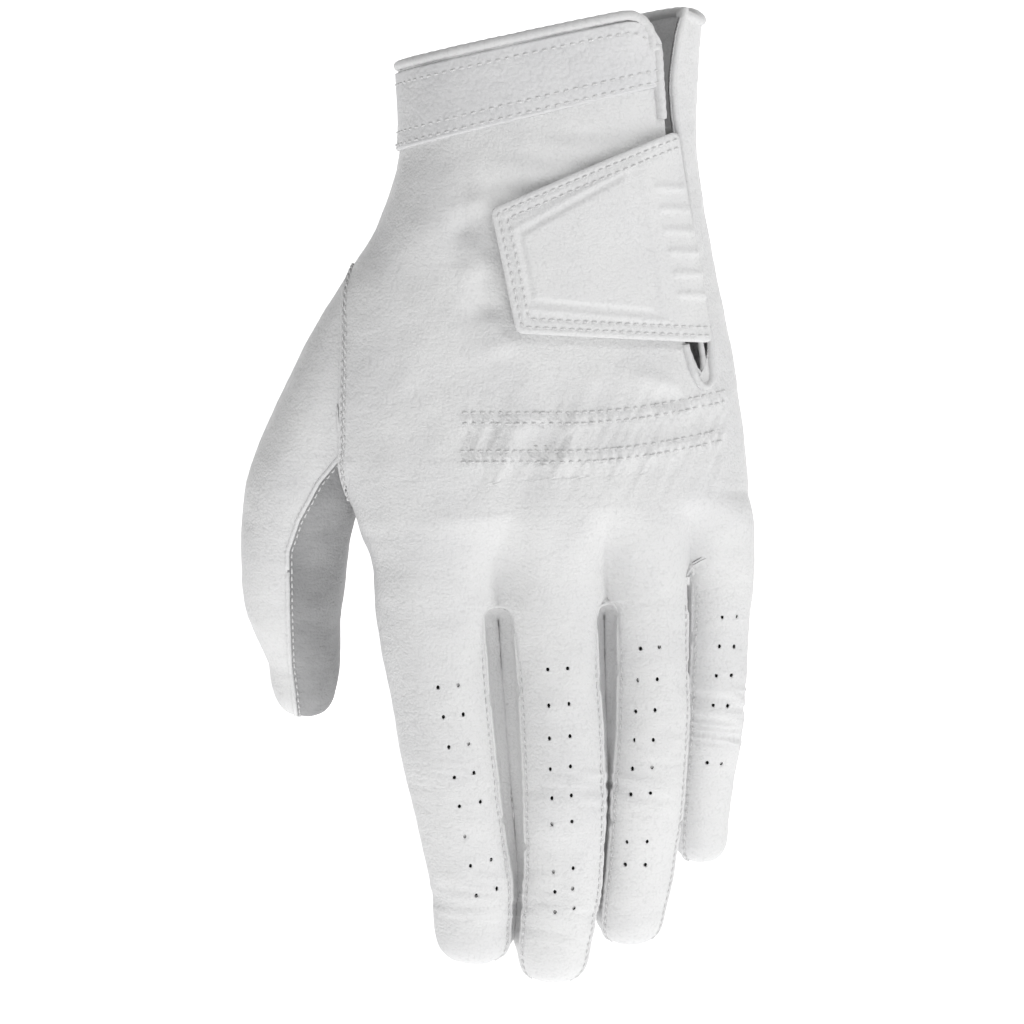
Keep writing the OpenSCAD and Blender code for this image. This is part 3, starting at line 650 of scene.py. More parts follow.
def leather_material(name, light, dark, grain, bump, roughness=0.5, crease=0.25):
    """White leather: rounded pebbles, fine pores, faint creases and slight variation of tone. The grooves
    between the pebbles are painted up to a tenth darker as shade.
    """
    mat, nt, shader = principled(name, light, roughness)
    place = object_place(nt)
    wobble = node(nt, "TexNoise", {"Vector": place, "Scale": 1 / (grain * 2.2 * MM), "Detail": 3.0})
    shift = node(nt, "VectorMath", {0: wobble.outputs["Color"], 1: (grain * 1.1 * MM,) * 3, 2: place},
                 operation="MULTIPLY_ADD")
    pebbles = node(nt, "TexVoronoi", {"Vector": shift.outputs["Vector"], "Scale": 1 / (grain * MM),
                                      "Smoothness": 0.4}, feature="SMOOTH_F1").outputs["Distance"]
    fine = node(nt, "TexNoise", {"Vector": place, "Scale": 1 / (grain * 0.38 * MM),
                                 "Detail": 2.0}).outputs["Fac"]
    stretch = node(nt, "Mapping", {"Vector": place, "Scale": (0.6, 0.8, 1.7)}).outputs["Vector"]
    creases = node(nt, "TexNoise", {"Vector": stretch, "Scale": 1 / (4.5 * MM), "Detail": 5.0,
                                    "Roughness": 0.6})
    cloud = node(nt, "TexNoise", {"Vector": place, "Scale": 1 / (16 * MM), "Detail": 4.0}).outputs["Fac"]
    pores = node(nt, "Math", {0: fine, 1: 0.45}, operation="MULTIPLY").outputs["Value"]
    relief = node(nt, "Math", {0: pebbles, 1: -1.0, 2: pores}, operation="MULTIPLY_ADD").outputs["Value"]
    big = node(nt, "Bump", {"Strength": crease, "Distance": 0.5 * MM, "Height": creases.outputs["Fac"]})
    small = node(nt, "Bump", {"Strength": bump, "Distance": 0.12 * MM, "Height": relief,
                              "Normal": big.outputs["Normal"]})
    tone = colour_blend(nt, dark, light, cloud)
    tone.color_ramp.elements[0].position, tone.color_ramp.elements[1].position = 0.30, 0.62
    # painted shade: the colour falls to 0.9 towards the pebbles' edges, where the relief lies low
    shade = map_range(nt, pebbles, 1.0, 0.90, **{"From Min": 0.55, "From Max": 0.95})
    groove_shade = node(nt, "Mix", {"Factor": 1.0, 6: tone.outputs["Color"], 7: shade}, data_type="RGBA",
                  blend_type="MULTIPLY")
    feed(nt, shader.inputs["Normal"], small.outputs["Normal"])
    feed(nt, shader.inputs["Base Color"], groove_shade.outputs[2])
    feed(nt, shader.inputs["Roughness"], map_range(nt, fine, roughness - 0.07, roughness + 0.09))
    feed(nt, shader.inputs["Specular IOR Level"], 0.35)
    return mat


def finish_cloth(nt, shader, colour, shade, pattern, height, strength, depth, sheen):
    """The bump, tone and sheen that threads, woven bands and closure pads share. Where pattern and height are
    one texture, the tone is painted shade: darker where the surface lies low.
    """
    bump = node(nt, "Bump", {"Strength": strength, "Distance": depth * MM, "Height": height})
    tone = colour_blend(nt, tuple(c * shade for c in colour), colour, pattern)
    feed(nt, shader.inputs["Normal"], bump.outputs["Normal"])
    feed(nt, shader.inputs["Base Color"], tone.outputs["Color"])
    feed(nt, shader.inputs["Sheen Weight"], sheen)


def thread_material(name, colour):
    """Twisted polyester thread: fine slanting strands."""
    mat, nt, shader = principled(name, colour, 0.5)
    place = object_place(nt)
    strands = node(nt, "TexWave", {"Vector": place, "Scale": 2200.0, "Distortion": 1.5},
                   bands_direction="DIAGONAL").outputs["Fac"]
    fuzz = node(nt, "TexNoise", {"Vector": place, "Scale": 2500.0, "Detail": 2.0}).outputs["Fac"]
    finish_cloth(nt, shader, colour, 0.86, fuzz, strands, 0.5, 0.05, 0.2)
    return mat


def woven_material(name, colour, pitch):
    """A ribbed woven band."""
    mat, nt, shader = principled(name, colour, 0.8)
    place = object_place(nt)
    warp, weft = (node(nt, "TexWave", {"Vector": place, "Scale": 1 / (pitch * 20 * MM), "Distortion": 0.6},
                       bands_direction=way).outputs["Fac"] for way in "XZ")
    both = node(nt, "Math", {0: warp, 1: weft}, operation="MULTIPLY").outputs["Value"]
    # painted shade: the weave is darker where it lies low
    finish_cloth(nt, shader, colour, 0.7, both, both, 0.7, 0.15, 0.3)
    return mat


def napped_material(name, colour):
    """The hooks or loops of a closure pad: dense short fuzz."""
    mat, nt, shader = principled(name, colour, 0.9)
    loops = node(nt, "TexVoronoi", {"Vector": object_place(nt), "Scale": 1 / (0.55 * MM)}).outputs["Distance"]
    # painted shade: the pads are darker in the pits of their loops
    finish_cloth(nt, shader, colour, 0.65, loops, loops, 0.9, 0.3, 0.5)
    return mat


def shadow_material(name, colour):
    """The dark inside of a hole, rough and slightly mottled."""
    mat, nt, shader = principled(name, colour, 0.95)
    mottle = node(nt, "TexNoise", {"Vector": object_place(nt), "Scale": 3000.0}).outputs["Fac"]
    tone = colour_blend(nt, tuple(c * 0.5 for c in colour), colour, mottle)
    feed(nt, shader.inputs["Base Color"], tone.outputs["Color"])
    feed(nt, shader.inputs["Specular IOR Level"], 0.0)
    return mat


def stage_material(name, colour, glow):
    """A matt sweep that also glows evenly."""
    mat, nt, shader = principled(name, colour, 0.9)
    feed(nt, shader.inputs["Emission Color"], (1, 1, 1, 1))
    feed(nt, shader.inputs["Emission Strength"], glow)
    return mat


SKIN = leather_material("cabretta_leather", (0.83, 0.83, 0.83), (0.79, 0.79, 0.795), 0.62, 0.95, 0.5, 0.5)
BAND = leather_material("pebbled_band_leather", (0.80, 0.80, 0.805), (0.76, 0.76, 0.77), 0.85, 1.0, 0.55, 0.5)
TAB_SKIN = leather_material("tab_leather_grain", (0.83, 0.83, 0.83), (0.80, 0.80, 0.805), 0.6, 0.8, 0.5, 0.2)
TRIM = leather_material("binding_leather", (0.78, 0.78, 0.78), (0.73, 0.73, 0.735), 0.5, 0.4, 0.45, 0.4)
EDGE = leather_material("cut_leather_edge", (0.80, 0.80, 0.79), (0.70, 0.70, 0.69), 0.3, 0.7, 0.75, 0.3)
THREAD = thread_material("white_thread", (0.82, 0.82, 0.82))
ELASTIC = woven_material("woven_elastic", (0.78, 0.78, 0.77), 0.5)
LABEL = woven_material("woven_label", (0.82, 0.82, 0.81), 0.25)
NAP = napped_material("closure_nap", (0.72, 0.72, 0.71))
# Painted shade: the thumb's inner half, the same leather at about half the brightness.
INNER_THUMB_SHADE = leather_material("inner_thumb_painted_shade", (0.40, 0.40, 0.405), (0.27, 0.27, 0.275), 0.62, 1.0,
                               0.55, 1.0)
# Painted shade: the near-black inside of each hole.
HOLE_SHADOW = shadow_material("hole_shadow", (0.03, 0.03, 0.03))


# ------------------------------------------------------------------ the bends: their bodies and where they start and end

# half the length of each bend: the knuckle row's, and the middle and end joints' of the four fingers
ROW_HALF, MIDDLE_HALF, END_HALF = 19.0, [11.0, 11.0, 10.0, 9.0], [7.5, 7.0, 7.0, 6.5]


def knuckle_zone():
    """Start and end of the bend between the hand and the knuckle row, square to the knuckle axis."""
    axis = unit(KNUCKLE_B - KNUCKLE_A)
    down = unit(np.array([0, 0, -1.0]) + axis[2] * axis)
    centre = (KNUCKLE_A + KNUCKLE_B) / 2
    return (centre - down * ROW_HALF) * MM, (centre + down * ROW_HALF) * MM


def joint_zone(rows, turn, station, half):
    """Start and end of the bend at one joint of a finger or the thumb."""
    along, palm, _ = tube_frame(rows, turn, np.float64(station))
    centre = rows[station][:3] + palm * 0.1 * rows[station][4]
    return (centre - along * half) * MM, (centre + along * half) * MM


def flap_bend():
    """Start and end of the bend along the flap's far edge."""
    top, end = hand_point(CUFF_TOP, FLAP_TOP_ANGLE), hand_point(SLIT_END, slit_angle(SLIT_END, -1))
    across = unit(np.cross(top - end, np.array([0, 1.0, 0])))
    middle = (top + end) / 2
    return middle * MM, (middle + across * (4.0 if across[0] < 0 else -4.0)) * MM


def bend_of(kind, f):
    """A bend's two bodies and the points where it starts and ends. A body's name has no bend."""
    if kind == "row":
        return "hand", "knuckles", knuckle_zone()
    if kind == "middle":
        return "knuckles", f"{FINGER_NAMES[f]}_mid", joint_zone(FINGERS[f], FINGER_TURN[f], 2, MIDDLE_HALF[f])
    if kind == "tip":
        name = FINGER_NAMES[f]
        return f"{name}_mid", f"{name}_tip", joint_zone(FINGERS[f], FINGER_TURN[f], 3, END_HALF[f])
    if kind == "thumb_upper":
        return "hand", "thumb_mid", joint_zone(THUMB, 0, 1, 10.0)
    if kind == "thumb_lower":
        return "thumb_mid", "thumb_tip", joint_zone(THUMB, 0, 2, 7.5)
    return ("hand", "cuff_flap", flap_bend()) if kind == "flap_bend" else None


def attach(obj, place):
    """Makes a piece move with its part of the glove when place is a body's name. For a bend, given with its
    finger, it only bakes the piece's transform into its mesh.
    """
    bend = bend_of(*(place if isinstance(place, tuple) else (place, None)))
    if bend:
        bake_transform(obj)
    else:
        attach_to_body(obj, place)
    return obj


# ------------------------------------------------------------------ holes

# rows of two holes down each finger: first pair and last pair (x, z), count, and how much closer each next
# row lies
HOLES = [
    ([(-25.1, -141.2), (-20.7, -140.6)], [(-16.7, -187.2), (-12.1, -185.7)], 8, 1.0),
    ([(-1.1, -137.3), (3.5, -137.1)], [(0.7, -191.0), (4.8, -190.1)], 10, 0.93),
    ([(19.4, -132.7), (23.5, -132.4)], [(16.3, -180.6), (20.7, -180.6)], 9, 0.95),
    ([(37.6, -125.8), (40.9, -125.8)], [(34.5, -158.4), (37.6, -158.6)], 6, 1.0)]
HOLE_SIZE = 0.40
# a hole's lip, edge and bottom: radius in hole sizes, depth
HOLE_RINGS = [(1.35, 0.02), (1.0, 0.12), (0.92, 0.55)]
# how far holes keep from a cut in the leather
HOLE_GAP = 0.9


def hole_centres(f):
    """The finger's holes as (x, z), each a little off its place."""
    first, last, count, close = HOLES[f]
    steps = np.array([close ** k for k in range(count - 1)])
    at = np.concatenate([[0], np.cumsum(steps)]) / steps.sum()
    rng = np.random.default_rng(40 + f)
    return [mix(np.array(a), np.array(b), s) + rng.uniform(-0.12, 0.12, 2)
            for s in at for a, b in zip(first, last)]


def ring_round(faces, around, v):
    """The eight vertices round v, in order, from the four quads that meet there, or None."""
    follow = {}
    for n in around:
        k = faces[n].index(v)
        a, b, c = (faces[n][(k + step) % 4] for step in (1, 2, 3))
        follow[a], follow[b] = b, c
    ring = [next(iter(follow))]
    while follow.get(ring[-1]) not in (None, ring[0]) and len(ring) < 9:
        ring.append(follow[ring[-1]])
    return ring if len(ring) == 8 else None


def hole_rings(centre, normal, spokes):
    """A hole's lip, edge and bottom: a point on each spoke, pressed in more and more."""
    e1 = unit(np.cross(normal, [0, 0, 1.0]))
    e2 = np.cross(normal, e1)
    angle = np.arctan2(spokes @ e2, spokes @ e1)[:, None]
    flat = e1 * np.cos(angle) * 0.9 + e2 * np.sin(angle) * 1.15
    return [centre + flat * radius * HOLE_SIZE - normal * depth for radius, depth in HOLE_RINGS]


def punch(points, faces, normals, centres):
    """Presses a small round pit into the front of a quad mesh round each (x, z) in centres. Its wall below
    the edge and its closed bottom take near-black painted shade in place of an open hole.
    """
    front = np.flatnonzero(normals[:, 1] < -0.3)
    chosen, around = {}, {}
    for c in centres:
        k = int(front[np.argmin(((points[front][:, [0, 2]] - c) ** 2).sum(1))])
        if np.hypot(*(points[k][[0, 2]] - c)) < 0.8:
            chosen[k] = c
    for n, f in enumerate(faces):
        for v in f:
            if v in chosen:
                around.setdefault(v, []).append(n)
    drop, added, hole_faces = set(), [], []
    for v, quads in around.items():
        ring = None if len(quads) != 4 or any(n in drop for n in quads) else ring_round(faces, quads, v)
        if ring is None:
            continue
        drop.update(quads)
        centre = np.array([chosen[v][0], points[v][1], chosen[v][1]])
        levels = [ring]
        for new in hole_rings(centre, normals[v], points[ring] - points[v]):
            first = len(points) + 8 * len(added)
            added.append(new)
            levels.append(list(range(first, first + 8)))
        for level, (a, b) in enumerate(zip(levels, levels[1:])):
            # the wall from the edge down and the closed bottom take the near-black painted shade
            hole_faces += [((a[k], a[(k + 1) % 8], b[(k + 1) % 8], b[k]), int(level == 2)) for k in range(8)]
        hole_faces.append((tuple(levels[3]), 1))
    kept = [f for n, f in enumerate(faces) if n not in drop]
    picks = [0] * len(kept) + [pick for _, pick in hole_faces]
    return np.concatenate([points] + added), kept + [f for f, _ in hole_faces], picks


def rim_faces(faces, shift):
    """Quads joining the open edges of a sheet to the same edges of its inner side, shift vertices on."""
    seen = {}
    for f in faces:
        for k in range(len(f)):
            seen[f[k], f[(k + 1) % len(f)]] = True
    return [(b, a, a + shift, b + shift) for a, b in seen if (b, a) not in seen]


def skin(name, grids, flips, place, replaces, centres=(), spare=None, second=None):
    """A leather panel: welded, wrinkled, punched, given its thickness and fastened to its place if that is a
    body; for a bend its transform is only baked.
    second is another material, and a test on a face's middle that says which faces take it."""
    plain, faces, keep = weld(grids, flips, spare)
    normals = vertex_normals(plain, faces)
    points = plain + normals * leather_shift(plain, normals)[:, None]
    normals = vertex_normals(points, faces)
    sheet, n = clean(faces[keep]), len(points)
    punched, outer, picks = punch(points, sheet, normals, centres)
    materials = [SKIN, HOLE_SHADOW]
    if second:
        materials.append(second[0])
        picks = [2 if pick == 0 and max(f) < n and second[1](plain[list(f)[:3]].mean(0)) else pick
                 for pick, f in zip(picks, outer)]
    # the inner side takes the numbers n to 2n, so the holes' points come after them
    outer = [tuple(v + n if v >= n else v for v in f) for f in outer]
    inner = [tuple(v + n for v in f[::-1]) for f in sheet] + rim_faces(sheet, n)
    all_points = np.concatenate([points, points - normals * LEATHER, punched[n:]])
    all_normals = np.concatenate([normals, -normals, np.zeros((len(punched) - n, 3))])
    faces = outer + inner
    used = np.unique(np.concatenate([np.asarray(f) for f in faces]))
    index = np.zeros(len(all_points), int)
    index[used] = np.arange(len(used))
    obj = add_mesh(name, all_points[used], [tuple(index[list(f)]) for f in faces], materials,
                   picks + [0] * len(inner))
    own = all_normals[used]
    hole_points = np.flatnonzero(np.abs(own).sum(1) < 1e-9)
    if len(hole_points):
        own[hole_points] = np.array([v.normal[:] for v in obj.data.vertices])[hole_points]
    obj.data.normals_split_custom_set_from_vertices(own.tolist())
    attach(obj, place)
    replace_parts(obj, *replaces)
    return obj


# ------------------------------------------------------------------ the back, palm and finger strips

# columns across a strip of the back or palm, and across a strip between fingers
COLS, SIDE_COLS = 46, 14
# how far beyond a cut the rows go that only serve to find the slope there
SPARE = 0.012
# heights of the cuts in each finger's leather
CUT1 = [-145.0, -141.0, -136.5, -129.5]
CUT2 = [-171.0, -175.4, -170.2, -152.2]


def station_at(f, z):
    t = np.linspace(1, 5, 4001)
    return float(np.interp(-z, -spline(FINGERS[f], t)[:, 2], t))


def strip_rows(f, side):
    """Stations of a finger strip: to the crotch, round the slot's closed end, and on to the first cut."""
    crotch, cut = CROTCH[side], station_at(f, CUT1[f])
    bend = crotch + SLOT_ROUND * np.linspace(0, 1, 14) ** 2
    rows = np.linspace(bend[-1], cut, 36)
    return np.concatenate([np.linspace(0, crotch, 44)[:-1], bend[:-1], rows, [cut + SPARE]])


def strips(side):
    u = np.linspace(0, 1, COLS + 1)
    return [row_point(f, strip_rows(f, side)[:, None], u[None], side) for f in range(4)]


def hand_columns(side):
    """Angles round the hand that line up with the four finger strips' columns."""
    u = np.linspace(0, 1, COLS + 1)
    return np.concatenate([mix(border_angle(f - 1, side), border_angle(f, side), u)[(1 if f else 0):]
                           for f in range(4)])


def back_grids():
    """The back in seven grids: thumb side of the slit, little-finger side, below the slit, and the strips."""
    angle = hand_columns(1)
    share = (angle - angle[0]) / (angle[-1] - angle[0])
    left, cut, right = back_left(SLIT_END), slit_angle(SLIT_END, -1), 360 - SIDE_LEAN
    at_cut = int(np.argmin(np.abs(share - (cut - left) / (right - left))))
    k, m = np.linspace(0, 1, at_cut + 1), np.linspace(0, 1, len(angle) - at_cut)
    s = np.linspace(0, 1, 130)[:, None]
    top_angle = mix(back_left(CUFF_TOP), slit_angle(np.float64(CUFF_TOP), -1), k[None])
    z = mix(CUFF_TOP - cuff_drop(top_angle) - corner_drop(top_angle), SLIT_END, s)
    thumb_side = hand_point(z, mix(back_left(z), slit_angle(z, -1), k[None]))
    z = mix(CUFF_TOP - cuff_drop(mix(FLAP_TOP_ANGLE, right, m[None])), SLIT_END, s)
    little_side = hand_point(z, mix(np.maximum(flap_line(z), slit_angle(z, 1)), right, m[None]))
    at_end = np.concatenate([mix(left, cut, k), mix(cut, right, m)[1:]])
    share_end = (at_end - left) / (right - left)
    s = np.linspace(0, 1, 54)[:, None]
    z = mix(SLIT_END, knuckle_edge(angle)[None], s)
    below = hand_point(z, mix(back_left(z[:, :1]), right, mix(share_end[None], share[None], smooth(s))))
    return [thumb_side, little_side, below] + strips(1)


def palm_grids():
    """The palm in five grids: the hand and the four strips."""
    angle = hand_columns(-1)
    share = (angle - angle[0]) / (angle[-1] - angle[0])
    s = np.linspace(0, 1, 190)[:, None]
    z = mix(CUFF_TOP - cuff_drop(angle)[None], knuckle_edge(angle)[None], s)
    return [hand_point(z, mix(palm_left(z[:, :1]), -SIDE_LEAN, share[None]))] + strips(-1)


def tucked_finger(f, t, angle, tuck):
    """A finger's surface, tuck millimetres towards its middle."""
    p = finger_point(f, t, angle)
    core = spline(FINGERS[f], np.broadcast_to(t, p.shape[:-1]))[..., :3]
    return p + unit(core - p) * np.broadcast_to(tuck, p.shape[:-1])[..., None]


def fourchette_grid(f):
    """The strip between fingers f and f + 1: down one side, round the crotch and down the other.
    Its two extra columns on each edge tuck in behind the panels."""
    beyond = np.concatenate([[-1.0, -0.5], np.zeros(SIDE_COLS), [0.5, 1.0]])[None]
    v = np.concatenate([[0.0, 0.0], np.linspace(0, 1, SIDE_COLS), [1.0, 1.0]])[None]
    tuck = 0.45 * np.abs(beyond)
    start = mix(CROTCH[1], CROTCH[-1], v)
    halves = []
    for g, other_finger in ((f, f + 1), (f + 1, f)):
        t = mix(start, station_at(g, CUT1[g]), np.linspace(0, 1, 50)[:, None] ** 2.2)
        t = np.concatenate([t, t[-1:] + SPARE])
        angle = mix(-SEAM_AT, SEAM_AT, v) + 7 * beyond * smooth((t - start) / 0.2)
        angle = angle if g == f else 180 - angle
        own = tucked_finger(g, t, angle, tuck)
        other = tucked_finger(other_finger, t, 180 - angle, tuck)
        halves.append(own + (other - own) * pull_share(t, start) / 2)
    return np.concatenate([halves[0][::-1], halves[1][1:]])


def make_trunk():
    """The back, the palm and the strips between the fingers, down to the first cuts."""
    holes = [c for f in range(4) for c in hole_centres(f) if c[1] > CUT1[f] + HOLE_GAP]
    skin("back_leather", back_grids(), [False] * 7, "row", centres=holes, spare=[(0, 0)] * 3 + [(0, 1)] * 4,
         replaces=("back_of_hand", "back_of_knuckles"))
    skin("palm_leather", palm_grids(), [True] * 5, "row", spare=[(0, 0)] + [(0, 1)] * 4,
         replaces=("palm_of_hand", "palm_of_knuckles", "palm_fold"))
    for f, pair in enumerate(PAIRS):
        skin(f"fourchette_{pair}_leather", [fourchette_grid(f)], [True], "row", spare=[(1, 1)],
             replaces=(f"fourchette_{pair}",))


def make_flap():
    """The narrow leather strip on the little-finger side of the slit."""
    k = np.linspace(0, 1, 16)[None]
    top = CUFF_TOP - cuff_drop(mix(slit_angle(np.float64(CUFF_TOP), 1), FLAP_TOP_ANGLE, k))
    z = mix(top, FLAP_END, np.linspace(0, 1, 90)[:, None])
    grid = hand_point(z, mix(slit_angle(z, 1), flap_line(z), k))
    skin("cuff_flap_leather", [grid], [False], "flap_bend", replaces=("cuff_flap",))


# ------------------------------------------------------------------ finger and thumb tubes

def round_angles(f):
    """Angles round a finger, at the same steps as the panels and strips above the cut."""
    u = np.linspace(0, 1, COLS + 1)
    back, palm = across_angle(f, u, 1), across_angle(f, u[::-1], -1) + 360
    parts = [back]
    if f < 3:
        parts.append(np.linspace(360 - SEAM_AT, 360 + SEAM_AT, SIDE_COLS)[1:])
    parts.append(palm[1:])
    if f > 0:
        parts.append(np.linspace(180 - SEAM_AT, 180 + SEAM_AT, SIDE_COLS)[1:] + 360)
    return np.concatenate(parts)[None]


def with_spares(t):
    return np.concatenate([[t[0] - SPARE], t, [t[-1] + SPARE]])


def make_fingers():
    """Each finger's middle and tip tubes, in step with the strips above them."""
    for f, name in enumerate(FINGER_NAMES):
        phi, centres = round_angles(f), hole_centres(f)
        c1, c2 = station_at(f, CUT1[f]), station_at(f, CUT2[f])
        middle = np.linspace(c1, c2, 56)
        tip = np.concatenate([np.linspace(c2, 4, 40)[:-1], 4 + np.sin(np.linspace(0, np.pi / 2, 30))])
        for word, rows, high, low, spare in (
                ("middle", with_spares(middle), CUT1[f] - HOLE_GAP, CUT2[f] + HOLE_GAP, (1, 1)),
                ("tip", with_spares(tip)[:-1], CUT2[f] - HOLE_GAP, -999, (1, 0))):
            skin(f"{name}_{word}_leather", [finger_point(f, rows[:, None], phi)], [False], (word, f),
                 centres=[c for c in centres if low < c[1] < high], spare=[spare],
                 replaces=tuple(f"{name}_{word}_{p}" for p in ("back", "palm", "fourchettes")))


THUMB_CUT = 1.56
# x and z down the seam between the thumb's outer and inner halves
THUMB_SEAM = np.array([[-46.4, -70], [-46.6, -90.4], [-51.3, -96], [-55.9, -104.5], [-58.3, -111.5],
                       [-58.3, -122.8], [-58.0, -136.6], [-56.8, -147.0], [-56.4, -156.0]])


def seam_x(z):
    return np.interp(-z, -THUMB_SEAM[:, 1], THUMB_SEAM[:, 0])


def painted_shade_half(p):
    """Whether a point of the thumb lies on its inner half, which is painted darker as shade."""
    return p[0] > seam_x(p[2]) and p[2] < -87 and p[1] < 60


def make_thumb():
    """The thumb in two pieces, each with its inner half painted darker as shade."""
    phi = np.linspace(0, 360, 141)[None]
    rows = np.append(np.linspace(0, THUMB_CUT, 80), THUMB_CUT + SPARE)
    skin("thumb_upper_leather", [thumb_point(rows[:, None], phi)], [False], "thumb_upper", spare=[(0, 1)],
         second=(INNER_THUMB_SHADE, painted_shade_half),
         replaces=("thumb_base_outer", "thumb_base_inner", "thumb_mid_outer", "thumb_mid_inner"))
    lower = np.concatenate([[THUMB_CUT - SPARE], np.linspace(THUMB_CUT, 3, 40)[:-1],
                            3 + np.sin(np.linspace(0, np.pi / 2, 30))])
    skin("thumb_lower_leather", [thumb_point(lower[:, None], phi)], [False], "thumb_lower", spare=[(1, 0)],
         second=(INNER_THUMB_SHADE, painted_shade_half), replaces=("thumb_tip_outer", "thumb_tip_inner"))


# ------------------------------------------------------------------ surfaces that details lie on

# how deep a ridge reaches into the leather, and the welts' size
RIDGE_SINK, WELT_WIDTH, WELT_HEIGHT = 0.25, 0.95, 0.42


def shifted(points, normals, lift=0.0):
    """Points of a panel moved out to where the wrinkled leather is, and lift further."""
    return points + normals * (leather_shift(points, normals) + lift)[..., None]


def surface_normals(fn, x, z, step=0.15):
    dx = fn(x + step, z) - fn(x - step, z)
    dz = fn(x, z - step) - fn(x, z + step)
    return unit(np.cross(dz, dx))


def on_back(x, z, lift=0.0):
    """Points and normals on the leather of the back of the hand."""
    p = back_point(x, z)
    n = surface_normals(back_point, x, z)
    return shifted(p, n, lift), n


def ring_normals(z, angle):
    return surface_normals(lambda a, b: hand_point(b, a), angle, z, 0.3)


def on_rings(z, angle, lift=0.0):
    """Points and normals on the leather of the hand's rings."""
    n = ring_normals(z, angle)
    return shifted(hand_point(z, angle), n, lift), n


def along_line(corners, step):
    """Points every step millimetres along straight lines through (x, z) corners."""
    path = resample([(x, 0, z) for x, z in corners], step)
    return path[:, 0], path[:, 2]


def smooth_curve(points, step):
    """A Catmull-Rom curve through (x, z) points, sampled every step."""
    fine = spline(np.array(points, float), np.linspace(0, len(points) - 1, 40 * len(points)))
    path = resample(np.insert(fine, 1, 0, axis=1), step)
    return path[:, 0], path[:, 2]


def stitch_row(name, points, normals, place, **shape):
    """A row of threads. shape gives their pitch, length, radius and how far their middle stands up."""
    verts, faces = merge(stitch_parts(points, normals, **shape))
    return attach(add_mesh(name, verts, faces, [THREAD]), place)


def ridge(name, points, normals, width, height, place):
    """A low rounded ridge of leather, such as a welt, lying on a surface."""
    a = np.linspace(0, np.pi, 9)
    profile = np.stack([-width / 2 * np.cos(a), height * np.sin(a) ** 0.8], -1)
    profile = np.concatenate([profile, [[width / 2, -RIDGE_SINK], [-width / 2, -RIDGE_SINK]]])
    n = len(points)
    taper = smooth(np.minimum(np.arange(n), np.arange(n)[::-1]) / max(1, min(4, n // 3)))
    prof = profile[None] * np.ones((n, 1, 1))
    prof[..., 1] = prof[..., 1] * (0.15 + 0.85 * taper[:, None]) - 0.1 * (1 - taper[:, None])
    return attach(add_mesh(name, *sweep(points, normals, prof), [SKIN]), place)


# ------------------------------------------------------------------ elastic, cuff and closure

BAND_STITCH = dict(pitch=2.1, length=1.35, radius=0.25)
BAND_TOP, BAND_LOW = 1.0, -15.6
CUFF_ROWS = {"edge": -1.6, "upper": -11.6, "lower": -14.3}
# the binding's radius, and how far it stands above the leather's rim
BINDING_R, RIM_RISE = 1.25, 0.9


def make_elastics():
    """The two elastic bands under the back's leather, each sewn on with two rows of stitches."""
    for name, row, x0, x1 in (("upper_elastic_band", ELASTIC_ROWS[0], -19.5, 38),
                              ("lower_elastic_band", ELASTIC_ROWS[1], -20, 37)):
        x = np.linspace(x0, x1, 120)[None]
        z = elastic_z(x, row) + np.linspace(2.5, -2.5, 9)[:, None]
        grid = back_point(np.broadcast_to(x, z.shape), z, 1.0)
        n = vertex_normals(grid.reshape(-1, 3), grid_faces(*z.shape)).reshape(grid.shape)
        grid = grid + n * (0.12 * np.sin(grid[..., :1] * 3.0))
        thin_sheet(name, grid, 0.5, ELASTIC, "hand", name[:13])
        x = np.linspace(x0 + 0.5, x1 - 0.5, 400)
        for side, word in ((-1, "low"), (1, "top")):
            points, normals = on_back(x, elastic_z(x, row) + side * STITCH_OFFSET, 0.10)
            threads = stitch_row(f"{name}_stitches_{word}", points, normals, "row", **BAND_STITCH, top=0.20)
            if name == "upper_elastic_band" and side < 0:
                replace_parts(threads, "elastic_threads")


def make_cuff():
    """The padded band round the back of the cuff, with its three rows of stitches."""
    k = np.linspace(0, 1, 220)[None]
    top_angle = mix(back_left(BAND_TOP) + 12, slit_angle(np.float64(BAND_TOP), -1), k)
    top = BAND_TOP - cuff_drop(top_angle) - corner_drop(top_angle)
    z = mix(top, BAND_LOW, np.linspace(0, 1, 60)[:, None])
    angle = mix(back_left(z) + 12, slit_angle(z, -1), k)
    p = hand_point(z, angle)
    edge = np.minimum((BAND_TOP - z) * 3, (z - BAND_LOW) * 1.6)
    puff = 0.62 * smooth(np.clip(edge + 0.2, 0, 1)) + 0 * angle
    channel = sum(-0.10 * np.exp(-((z - row) / 0.40) ** 2) for row in CUFF_ROWS.values())
    lumps = 0.16 * noise(p, 7, 21) + 0.06 * noise(p, 2.6, 22)
    p = p + ring_normals(z + 0 * angle, angle) * (puff + channel + lumps)[..., None]
    thin_sheet("cuff_band_leather", p, 0.5, BAND, "hand", "cuff_band")
    s = np.linspace(0.01, 0.972, 500)
    for name, row in CUFF_ROWS.items():
        a = mix(back_left(row) + 12, slit_angle(np.float64(row), -1), s)
        zz = row - (cuff_drop(a) + corner_drop(a) if name == "edge" else 0 * a)
        q, n = hand_point(zz, a), ring_normals(zz, a)
        q = q + n * (0.52 + 0.16 * noise(q, 7, 21))[:, None]
        threads = stitch_row(f"cuff_{name}_stitches", q, n, "hand", **BAND_STITCH, top=0.18)
        if name == "edge":
            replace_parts(threads, "cuff_threads")


